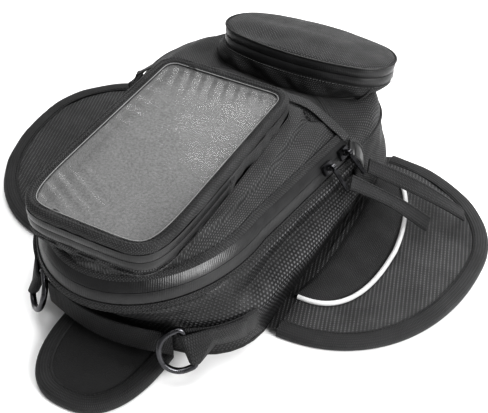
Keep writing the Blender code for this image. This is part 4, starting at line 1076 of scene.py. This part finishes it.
def make_pouch_zip():
    split = POUCH_TOP_Z + GAP + POUCH_TAPE
    parts = (("pouch_zip_lower", POUCH_TOP_Z + 0.3 * MM, split, "root", "pouch_tape_lower"),
             ("pouch_zip_upper", split + GAP, POUCH_LID_Z - 0.3 * MM, "pouch_lid_body", "pouch_tape_upper"))
    for name, low, high, body, node in parts:
        rows = [pouch_front(low + (high - low) * t, 0.1 * MM + 0.6 * MM * math.sin(math.pi * t))
                for t in np.linspace(0, 1, 7)]
        settle(cloth(name, recline(np.stack(rows)), M["zipper"], 1.2 * MM), body, "coated_zipper", node)
    coil = recline(pouch_front(split + 0.2 * MM, -1.6 * MM, 300))
    settle(tube("pouch_zip_coil", coil, 1.0 * MM, M["coil"], sides=8), "root", "coated_zipper")
    path = pouch_plan(POUCH_TOP_Z, 0.3 * MM, 900)
    kept = path[path[:, 1] > POUCH_Y + 0.70 * POUCH_SIZE[1]]
    kept = kept[np.argsort(-kept[:, 0])]
    rows = [lifted(resample(kept, 60), POUCH_TOP_Z + (POUCH_LID_Z + 0.6 * MM - POUCH_TOP_Z) * t)
            for t in np.linspace(0, 1, 8)]
    grid = np.stack(rows)
    bulge = np.sin(np.linspace(0, math.pi, 8))[:, None] * (1.6 * MM + 0.6 * MM * ripple(grid, 0.02, 91))
    grid = recline(grid + grid_normals(grid) * bulge[..., None])
    strip = cloth("pouch_back_strip", grid, M["binding"], 1.3 * MM)
    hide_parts("pouch_hinge_strip")
    tuple(recline((POUCH_TOP_X, 0.176, POUCH_LID_Z - 8 * MM)).tolist())
    tuple(recline((POUCH_TOP_X, 0.176, POUCH_LID_Z)).tolist())
    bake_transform(strip)


def make_pouch_lid():
    shares = np.linspace(1, 0.02, 34)
    rows = []
    centre = np.array([POUCH_TOP_X, POUCH_Y])
    edge = pouch_plan(POUCH_TOP_Z, 0.4 * MM, 260)
    for share in shares:
        dome = (1 - share ** 2.4) * 6.6 * MM + min((1 - share) * 22, 1) * 1.4 * MM
        rows.append(lifted(edge * share + centre * (1 - share), POUCH_LID_Z + 0.2 * MM + dome))
    grid = np.stack(rows)
    inside = 1 - shares[:, None] ** 5
    dent = bump_at(grid, (-0.004, 0.118, POUCH_LID_Z + 4 * MM), (0.022, 0.009, 0.05))
    ridge = bump_at(grid, (0.01, 0.131, POUCH_LID_Z + 4 * MM), (0.03, 0.008, 0.05))
    swell = inside * (0.9 * MM * ripple(grid, 0.06, 95) + 0.3 * MM * ripple(grid, 0.02, 96))
    grid[..., 2] += swell - 4.2 * MM * dent + 1.2 * MM * ridge
    grid = recline(grid)
    if grid_normals(grid, True)[10, :, 2].mean() < 0:
        grid = grid[:, ::-1]
    top = cloth("pouch_top", grid, M["oxford"], 1.4 * MM, wrap=True, plan=True)
    settle(top, "pouch_lid_body", "oxford_fabric", "pouch_lid")
    seam = recline(lifted(pouch_plan(POUCH_TOP_Z, 0.6 * MM, 260), POUCH_LID_Z + 0.4 * MM))
    settle(tube("pouch_top_seam", seam, 0.9 * MM, M["coil"], closed=True, sides=8),
           "pouch_lid_body", "binding_tape")


def make_saddle():
    """Woven top of the tail, drawn up to the pouch's neck."""
    count = 240
    low = RIM_Z + 0.6 * MM
    rim = tail_plan(LEVELS[-1], HINGE_Y + 1.5 * MM, 170, 0.0)
    side = rim[0][0]
    angle = np.linspace(math.pi, 0, 70)[1:-1]
    front = np.stack([side * np.cos(angle), np.full(len(angle), HINGE_Y + 1.5 * MM)], 1)
    outer = np.vstack([lifted(rim, low + 1 * MM),
                       lifted(front, crest_height(front[:, 0], low + 2 * MM, side))])
    outer = resample(outer, 2400, True)
    neck = pouch_plan(NECK_Z, -3.4 * MM, count)
    centre = np.array([NECK_X, POUCH_Y])
    bearing = np.arctan2(outer[:, 1] - centre[1], outer[:, 0] - centre[0])
    order = np.argsort(bearing)
    bearing, outer = bearing[order], outer[order]
    want = np.arctan2(neck[:, 1] - centre[1], neck[:, 0] - centre[0])
    matched = np.stack([np.interp(want, bearing, outer[:, k], period=2 * math.pi) for k in range(3)], 1)
    rows = []
    for t in np.linspace(0, 1, 22):
        row = matched * (1 - t) + lifted(neck, NECK_Z - 0.6 * MM) * t
        below = np.clip((NECK_Z - matched[:, 2]) / (12 * MM), 0, 1)
        row[:, 2] += (7.5 * MM * math.sin(math.pi * t)) * below
        rows.append(row)
    grid = np.stack(rows)
    if grid_normals(grid, True)[10, :, 2].mean() < 0:
        grid = grid[:, ::-1]
    free = np.sin(np.linspace(0, math.pi, 22))[:, None]
    push = free * (1.5 * MM * ripple(grid, 0.05, 101) + 0.6 * MM * ripple(grid, 0.02, 102))
    grid = grid + grid_normals(grid, True) * push[..., None]
    top = cloth("saddle_cloth", grid, M["oxford"], 1.6 * MM, wrap=True, plan=True)
    settle(top, "root", "oxford_fabric", "tail_saddle")
    seam = lifted(tail_plan(LEVELS[-1], SIDE_END_Y, 200, -0.4 * MM), low)
    settle(tube("tail_seam", seam, 1.3 * MM, M["binding"], sides=8), "root", "binding_tape")
    for sign in (-1, 1):
        zs = np.linspace(4 * MM, RIM_Z, 30)
        points = []
        for z in zs:
            level = level_at(z)
            x = level[1] + (level[4] - level[1]) * (SIDE_END_Y - NOSE_Y) / (TAIL_Y - NOSE_Y)
            points.append((sign * (x + 0.5 * MM), SIDE_END_Y + 0.6 * MM, z))
        edge = sweep(f"wall_end_binding_{sign + 1}", np.array(points), np.array([0, 1.0, 0]),
                     np.array([sign * 1.0, 0, 0]), rounded(6 * MM, 2.2 * MM, 1 * MM), M["binding"])
        settle(edge, "root", "binding_tape")


# ----------------------------------------------------------------- flaps
def flap_plan(count, inset=0.0):
    fore = quarter(WING_REACH, WING_FRONT, 2.2) * np.array([1, -1])
    aft = quarter(WING_REACH, WING_BACK, 2.0)[::-1]
    path = resample(np.vstack([fore, aft[1:]]), 3 * count)
    path = outset(path, -inset)
    path[:, 0] = np.maximum(path[:, 0], 0)
    return resample(path, count)


def on_side(points, sign):
    points = np.array(points, float)
    points[..., 0] = sign * (WING_ROOT + points[..., 0])
    points[..., 1] += WING_Y
    return points


def fill_flap(edge, z, rows=26, anchor=None):
    """Grid from the root line out to a flap's edge."""
    count = len(edge)
    root = np.stack([np.zeros(count), np.linspace(edge[0][1], edge[-1][1], count)], 1)
    if anchor is not None:
        root = anchor
    return np.stack([lifted(root * (1 - t) + edge * t, z) for t in np.linspace(0, 1, rows)])


def make_flap(side, sign):
    body = f"{side}_wing"
    top_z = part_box(f"{side}_wing_skin")[1].z
    seed = 110 if sign > 0 else 130
    edge = flap_plan(150, 2.2 * MM)
    for name, z, mat, slot, node, thick, puff in (
            ("face", top_z, "wing", "oxford_fabric", f"{side}_wing_skin", 1.4 * MM, 1),
            ("back", 1.6 * MM, "napped", "napped_fabric", f"{side}_wing_lining", 1.2 * MM, 0)):
        grid = on_side(fill_flap(edge, z, 40), sign)
        if (grid_normals(grid)[10, 20:100, 2].mean() < 0):
            grid = grid[:, ::-1]
        if puff:
            fold_a = np.exp(-((grid[..., 1] + 0.02 - 0.62 * (abs(grid[..., 0]) - 0.15)) / 0.0022) ** 2)
            fold_b = np.exp(-((grid[..., 1] - 0.012 - 0.9 * (abs(grid[..., 0]) - 0.17)) / 0.002) ** 2)
            outer = np.clip((abs(grid[..., 0]) - 0.14) / 0.01, 0, 1)
            grid[..., 2] += 0.35 * MM * ripple(grid, 0.05, seed)
            grid[..., 2] += 0.18 * MM * ripple(grid, 0.018, seed + 1)
            grid[..., 2] -= 0.8 * MM * (fold_a + fold_b) * outer
        piece = cloth(f"{side}_flap_{name}", grid, M[mat], thick, plan=True)
        settle(piece, body, slot, node)
    make_flap_edge(side, sign, top_z, body)
    make_flap_web(side, sign, top_z)
    make_flap_panel(side, sign, top_z, body)
    make_pads(side)


def make_pads(side):
    core = NODES[f"{side}_wing_core"]
    core.data.materials.clear()
    core.data.materials.append(M["foam"])
    for index in (1, 2):
        plate = NODES[f"{side}_wing_magnet_{index}"]
        plate.data.materials.clear()
        plate.data.materials.append(M["steel"])


def make_flap_web(side, sign, top_z):
    """Cloth from under the wall's foot to the flap, along the whole root."""
    ys = np.linspace(-WING_FRONT + 3 * MM, WING_BACK - 3 * MM, 120)
    rows = []
    for t in np.linspace(0, 1, 12):
        x = np.full(len(ys), (-9 + 19 * t) * MM)
        z = 3.9 * MM + (top_z + 0.35 * MM - 3.9 * MM) * min(t * 1.7, 1)
        rows.append(lifted(np.stack([x, ys], 1), z))
    grid = on_side(np.stack(rows), sign)
    if grid_normals(grid)[6, :, 2].mean() < 0:
        grid = grid[:, ::-1]
    web = cloth(f"{side}_flap_web", grid, M["wing"], 0.8 * MM, plan=True)
    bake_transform(web)


def make_flap_edge(side, sign, top_z, body):
    """Wide ribbed tape folded over the flap's rim."""
    high = top_z + 1.4 * MM
    profile = [(13 * MM, top_z + 0.3 * MM), (12.4 * MM, high - 0.3 * MM), (9 * MM, high),
               (5 * MM, high + 0.1 * MM), (2 * MM, high - 0.4 * MM), (0.5 * MM, high - 2 * MM),
               (0.0, 0.5 * high), (0.3 * MM, 1.4 * MM), (1.2 * MM, 0.3 * MM), (4 * MM, 0.05 * MM),
               (9 * MM, 0.05 * MM)]
    rows = [on_side(lifted(flap_plan(220, inset), z), sign) for inset, z in profile]
    grid = np.stack(rows)
    middle = len(profile) // 2
    out = grid_normals(grid)
    if (out[middle, 110, 0] * sign) < 0:
        grid = grid[:, ::-1]
        out = grid_normals(grid)
    soft = np.zeros(len(profile))
    soft[1:6] = 1
    grid = grid + out * (soft[:, None] * (0.25 * MM * ripple(grid, 0.03, 140)))[..., None]
    tape = cloth(f"{side}_flap_edge", grid, M["edge"], 0.9 * MM)
    settle(tape, body, "binding_tape", f"{side}_wing_binding")
    path = on_side(lifted(flap_plan(400, 11.2 * MM), high - 0.1 * MM), sign)
    settle(stitches(f"{side}_flap_stitch", path, UP, M["thread"]), body)


def panel_plan(count, inset=0.0):
    shift = -23 * MM
    fore = quarter(45 * MM, 78 * MM, 2.7) * np.array([1, -1]) + np.array([0, shift])
    aft = quarter(45 * MM, 88 * MM, 2.2)[::-1] + np.array([0, shift])
    path = resample(np.vstack([fore, aft[1:]]), 3 * count)
    path = outset(path, -inset)
    path[:, 0] = np.maximum(path[:, 0], 0)
    path[:, 0] -= 0.09 * np.maximum(path[:, 1] - shift, 0) * path[:, 0] / (45 * MM)
    return resample(path, count)


def make_flap_panel(side, sign, top_z, body):
    """Fine woven panel between the wall's foot and the bright piping."""
    edge = panel_plan(120, -1.0 * MM)
    count = len(edge)
    foot = np.stack([np.full(count, -4.5 * MM), np.linspace(edge[0][1], edge[-1][1], count)], 1)
    grid = fill_flap(edge, 0.0, 30, foot)
    t = np.linspace(0, 1, 30)[:, None]
    grid = on_side(grid, sign)
    grid[..., 2] = 3.9 * MM + (top_z + 1.1 * MM - 3.9 * MM) * np.clip(t * 4, 0, 1)
    grid[..., 2] += np.sin(math.pi * np.clip(t, 0, 1)) * (1.0 * MM + 0.35 * MM * ripple(grid, 0.035, 151))
    if grid_normals(grid)[15, 30:90, 2].mean() < 0:
        grid = grid[:, ::-1]
    panel = cloth(f"{side}_flap_panel", grid, M["twill"], 1.0 * MM, plan=True)
    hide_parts(f"{side}_wing_panel")
    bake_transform(panel)
    line = on_side(lifted(panel_plan(260, -2.1 * MM), top_z + 2.0 * MM), sign)
    bead = tube(f"{side}_flap_piping", line, 2.0 * MM, M["piping"], sides=14)
    settle(bead, body, "reflective_piping", f"{side}_wing_piping")
    lip = on_side(lifted(panel_plan(300, 1.2 * MM), top_z + 1.5 * MM), sign)
    settle(stitches(f"{side}_panel_stitch", lip, UP, M["thread"]), body)


def tongue_plan(count, inset=0.0):
    tip = quarter(47 * MM, 74 * MM, 2.5)
    path = np.vstack([(tip * np.array([-1, 1]))[::-1], tip[1:]])
    path = resample(path * np.array([1, -1]), 3 * count)
    path = outset(path, -inset)
    path[:, 1] = np.minimum(path[:, 1], 0)
    return resample(path, count) + np.array([0, TONGUE_Y])


def make_tongue():
    top_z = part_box("tongue_skin")[1].z
    edge = tongue_plan(130, 2.2 * MM)
    root = np.stack([np.linspace(edge[0][0], edge[-1][0], len(edge)), np.full(len(edge), TONGUE_Y)], 1)
    for name, z, mat, slot, node, thick in (
            ("face", top_z, "napped", "napped_fabric", "tongue_skin", 1.4 * MM),
            ("back", 1.6 * MM, "wing", "oxford_fabric", "tongue_lining", 1.2 * MM)):
        grid = np.stack([lifted(root * (1 - t) + edge * t, z) for t in np.linspace(0, 1, 30)])
        if grid_normals(grid)[10, 20:100, 2].mean() < 0:
            grid = grid[:, ::-1]
        if name == "face":
            grid[..., 2] += 0.3 * MM * ripple(grid, 0.04, 161) + 0.15 * MM * ripple(grid, 0.013, 162)
        piece = cloth(f"tongue_{name}", grid, M[mat], thick, plan=True)
        settle(piece, "tongue", slot, node)
    high = top_z + 1.4 * MM
    profile = [(13 * MM, top_z + 0.3 * MM), (12.4 * MM, high - 0.3 * MM), (9 * MM, high),
               (5 * MM, high + 0.1 * MM), (2 * MM, high - 0.4 * MM), (0.5 * MM, high - 2 * MM),
               (0.0, 0.5 * high), (0.3 * MM, 1.4 * MM), (1.2 * MM, 0.3 * MM), (4 * MM, 0.05 * MM),
               (9 * MM, 0.05 * MM)]
    grid = np.stack([lifted(tongue_plan(180, inset), z) for inset, z in profile])
    out = grid_normals(grid)
    if out[6, 90, 1] > 0:
        grid = grid[:, ::-1]
    tape = cloth("tongue_edge", grid, M["edge"], 0.9 * MM)
    settle(tape, "tongue", "webbing", "tongue_binding")
    path = lifted(tongue_plan(300, 11.2 * MM), high - 0.1 * MM)
    settle(stitches("tongue_stitch", path, UP, M["thread"]), "tongue")
    rows = []
    xs = np.linspace(-44 * MM, 44 * MM, 50)
    for t in np.linspace(0, 1, 10):
        y = TONGUE_Y + 5.5 * MM - 11 * MM * t
        z = 3.9 * MM + (top_z + 0.7 * MM - 3.9 * MM) * min(t * 1.6, 1)
        rows.append(np.column_stack([xs, np.full(50, y), np.full(50, z)]))
    grid = np.stack(rows)
    if grid_normals(grid)[5, :, 2].mean() < 0:
        grid = grid[:, ::-1]
    web = cloth("tongue_web", grid, M["oxford"], 0.8 * MM)
    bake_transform(web)
    for node, mat in (("tongue_core", "foam"), ("tongue_magnet", "steel")):
        NODES[node].data.materials.clear()
        NODES[node].data.materials.append(M[mat])


# ------------------------------------------------------ rings and webbing
RING_BAR = np.array([66 * MM, -115 * MM, 33 * MM])
RING_LEAN = unit(np.array([12.0, -3.0, -26.0]))


def make_rings():
    yaw = math.radians(222)
    out = np.array([math.cos(yaw), math.sin(yaw), 0])
    up = -RING_LEAN
    out = unit(out - up * (out @ up))
    half, corner, reach = 16 * MM, 3 * MM, 20 * MM
    flat = reach - half
    line = [(0.0, v) for v in np.linspace(-half + corner, half - corner, 8)]
    line += [(corner - corner * math.cos(a), half - corner + corner * math.sin(a))
             for a in np.linspace(0, 0.5 * math.pi, 7)[1:]]
    line += [(corner + flat + 0.92 * half * math.sin(a), half * math.cos(a))
             for a in np.linspace(0, math.pi, 30)]
    line += [(corner - corner * math.cos(a), -half + corner - corner * math.sin(a))
             for a in np.linspace(0.5 * math.pi, 0, 7)[:-1]]
    line = np.array(line)
    for side, sign in (("right", 1), ("left", -1)):
        points = RING_BAR + line[:, :1] * out + line[:, 1:] * up
        points = smooth(resample(points, 90, True), 2, True)
        points[:, 0] *= sign
        across = np.cross(out, up) * np.array([sign, 1, 1])
        tangent = unit(np.roll(points, -1, 0) - np.roll(points, 1, 0))
        radial = unit(np.cross(tangent, across))
        angles = np.linspace(0, 2 * math.pi, 14, endpoint=False)
        ring = np.stack([np.cos(angles), np.sin(angles)], 1) * 2.3 * MM
        piece = sweep(f"{side}_ring_wire", points, across, radial, ring, M["metal"], closed=True)
        settle(piece, f"{side}_ring", "dark_nickel", f"{side}_d_ring")


def make_webbing():
    for side in ("right", "left"):
        soften(f"{side}_tab_webbing", f"{side}_ring_tab", M["webbing"], "root", "webbing")
    soften("nose_strap", "front_strap", M["webbing"], "root", "webbing")


def soften(name, node, mat, body, slot):
    """A finer, rounded copy of a webbing node, with its weave along the strip."""
    source = NODES[node]
    mesh = source.data.copy()
    mesh.name = name
    obj = bpy.data.objects.new(name, mesh)
    bpy.context.scene.collection.objects.link(obj)
    bm = bmesh.new()
    bm.from_mesh(mesh)
    bmesh.ops.remove_doubles(bm, verts=bm.verts, dist=0.00001)
    bmesh.ops.dissolve_limit(bm, angle_limit=math.radians(1), verts=bm.verts, edges=bm.edges)
    bmesh.ops.bevel(bm, geom=[e for e in bm.edges if e.calc_face_angle(0) > math.radians(60)],
                    offset=0.35 * MM, segments=2, affect="EDGES")
    bmesh.ops.triangulate(bm, faces=[f for f in bm.faces if len(f.verts) > 4])
    bm.to_mesh(mesh)
    bm.free()
    mesh.materials.clear()
    mesh.materials.append(mat)
    box_uv(mesh)
    mesh.shade_smooth()
    mesh.set_sharp_from_angle(angle=math.radians(40))
    settle(obj, body, slot, node)


def box_uv(mesh):
    """Coordinates in metres: height runs across the strip, the rest along it."""
    while mesh.uv_layers:
        mesh.uv_layers.remove(mesh.uv_layers[0])
    layer = mesh.uv_layers.new(name="UVMap")
    uvs = []
    for polygon in mesh.polygons:
        steep = abs(polygon.normal.z) > 0.7
        sideways = abs(polygon.normal.x) > abs(polygon.normal.y)
        for index in polygon.loop_indices:
            co = mesh.vertices[mesh.loops[index].vertex_index].co
            run = co.y if sideways else co.x
            uvs.append((co.x, co.y) if steep else (run, co.z))
    layer.data.foreach_set("uv", np.array(uvs, np.float32).ravel())


def make_metalwork():
    for node in ("main_slider_a", "main_slider_b", "pocket_slider", "pouch_slider",
                 "main_pull_a", "main_pull_b", "pocket_pull", "pouch_pull"):
        NODES[node].data.materials.clear()
        NODES[node].data.materials.append(M["metal"])
    for index, label in enumerate("ab"):
        low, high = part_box(f"main_puller_tape_{label}")
        make_puller(label, low, high, index)
    for node, mat in (("base_mat", "rubber"), ("base_board", "board")):
        NODES[node].data.materials.clear()
        NODES[node].data.materials.append(M[mat])


def make_puller(label, low, high, index):
    """Folded tape that hangs from a pull, slightly twisted."""
    mesh = NODES[f"main_puller_tape_{label}"].data
    points = np.array([v.co for v in mesh.vertices])
    top = points[points[:, 2] > high.z - 4 * MM].mean(0)
    foot = points[points[:, 2] < low.z + 8 * MM].mean(0)
    along = unit(np.array([0.14, 0.99, 0]))
    run = unit(foot - top)
    side = unit(along - run * (along @ run))
    normal = np.cross(run, side)
    normal = normal if normal[2] > 0 else -normal
    count = 40
    t = np.linspace(0, 1, count)[:, None]
    path = top + (foot - top) * t + normal * (4.4 * MM * np.sin(math.pi * t))
    twist = 0.25 * np.sin(math.pi * t * 1.5) * (1 if index else -1)
    across = side * np.cos(twist) + normal * np.sin(twist)
    over = np.cross(unit(np.gradient(path, axis=0)), across)
    over = np.where(over[:, 2:] > 0, over, -over)
    width = 12.4 * MM
    profile = rounded(width, 2.3 * MM, 0.9 * MM)
    tape = sweep(f"puller_tape_{label}", path, across, over, profile, M["webbing"])
    settle(tape, f"zip_pull_{label}", "webbing", f"main_puller_tape_{label}")
    for shift in (-0.36, 0.36):
        line = path + across * width * shift + over * 1.15 * MM
        name = f"puller_stitch_{label}_{'a' if shift < 0 else 'b'}"
        settle(stitches(name, line, over, M["thread"]), f"zip_pull_{label}")


# ------------------------------------------------------------------ stage
def make_stage():
    floor_look = Look("pale_floor", (0.86, 0.86, 0.86), 0.9, spec=0.1)
    floor_look.tint(floor_look.noise(3, low=0.99, high=1.0))
    size = 6.0
    mesh = bpy.data.meshes.new("floor")
    mesh.from_pydata([(-size, -size, -0.0005), (size, -size, -0.0005), (size, size, -0.0005),
                      (-size, size, -0.0005)], [], [(0, 1, 2, 3)])
    mesh.materials.append(floor_look.mat)
    floor = bpy.data.objects.new("floor", mesh)
    bpy.context.scene.collection.objects.link(floor)


def softbox(name, place, aim, size, power):
    light = bpy.data.lights.new(name, "AREA")
    light.shape = "RECTANGLE"
    light.size, light.size_y = size
    light.energy = power
    obj = bpy.data.objects.new(name, light)
    obj.location = place
    obj.rotation_euler = (Vector(aim) - Vector(place)).to_track_quat("-Z", "Y").to_euler()
    bpy.context.scene.collection.objects.link(obj)


def make_light():
    world = bpy.data.worlds.new("studio")
    world.use_nodes = True
    background = world.node_tree.nodes["Background"]
    background.inputs["Color"].default_value = (1, 1, 1, 1)
    background.inputs["Strength"].default_value = 0.34
    bpy.context.scene.world = world
    bpy.context.scene.view_settings.view_transform = "Standard"
    bpy.context.scene.view_settings.look = "High Contrast"
    target = (0.02, 0.03, 0.08)
    softbox("key", (1.1, -0.25, 0.7), target, (0.6, 0.6), 15)
    softbox("sheen", (-0.1, 1.1, 0.95), target, (1.2, 0.4), 9)
    softbox("top", (0.0, 0.1, 1.5), target, (1.1, 1.1), 15)


def make_camera():
    """Camera at the photograph's angle, with a short telephoto lens."""
    turn, lift, roll = (math.radians(a) for a in (29.4, 42.8, -0.9))
    back = Vector((math.sin(turn) * math.cos(lift), -math.cos(turn) * math.cos(lift), math.sin(lift)))
    right = Vector((math.cos(turn), math.sin(turn), 0))
    up = back.cross(right)
    c, s = math.cos(roll), math.sin(roll)
    right, up = c * right + s * up, c * up - s * right
    place = Vector((0.013, 0.060, 0)) + 0.799 * back
    camera = bpy.data.objects.new("camera", bpy.data.cameras.new("camera"))
    camera.data.lens = 68.5
    camera.data.sensor_width = 36
    camera.data.clip_start = 0.01
    matrix = Matrix((right, up, back)).transposed().to_4x4()
    matrix.translation = place
    camera.matrix_world = matrix
    bpy.context.scene.collection.objects.link(camera)
    bpy.context.scene.camera = camera


make_camera()
make_light()
make_stage()
make_walls()
make_main_zipper()
make_lid()
make_lid_fold()
make_pocket()
make_pouch()
make_zip_ends()
make_saddle()
for side, sign in (("right", 1), ("left", -1)):
    make_flap(side, sign)
make_tongue()
make_rings()
make_webbing()
make_metalwork()
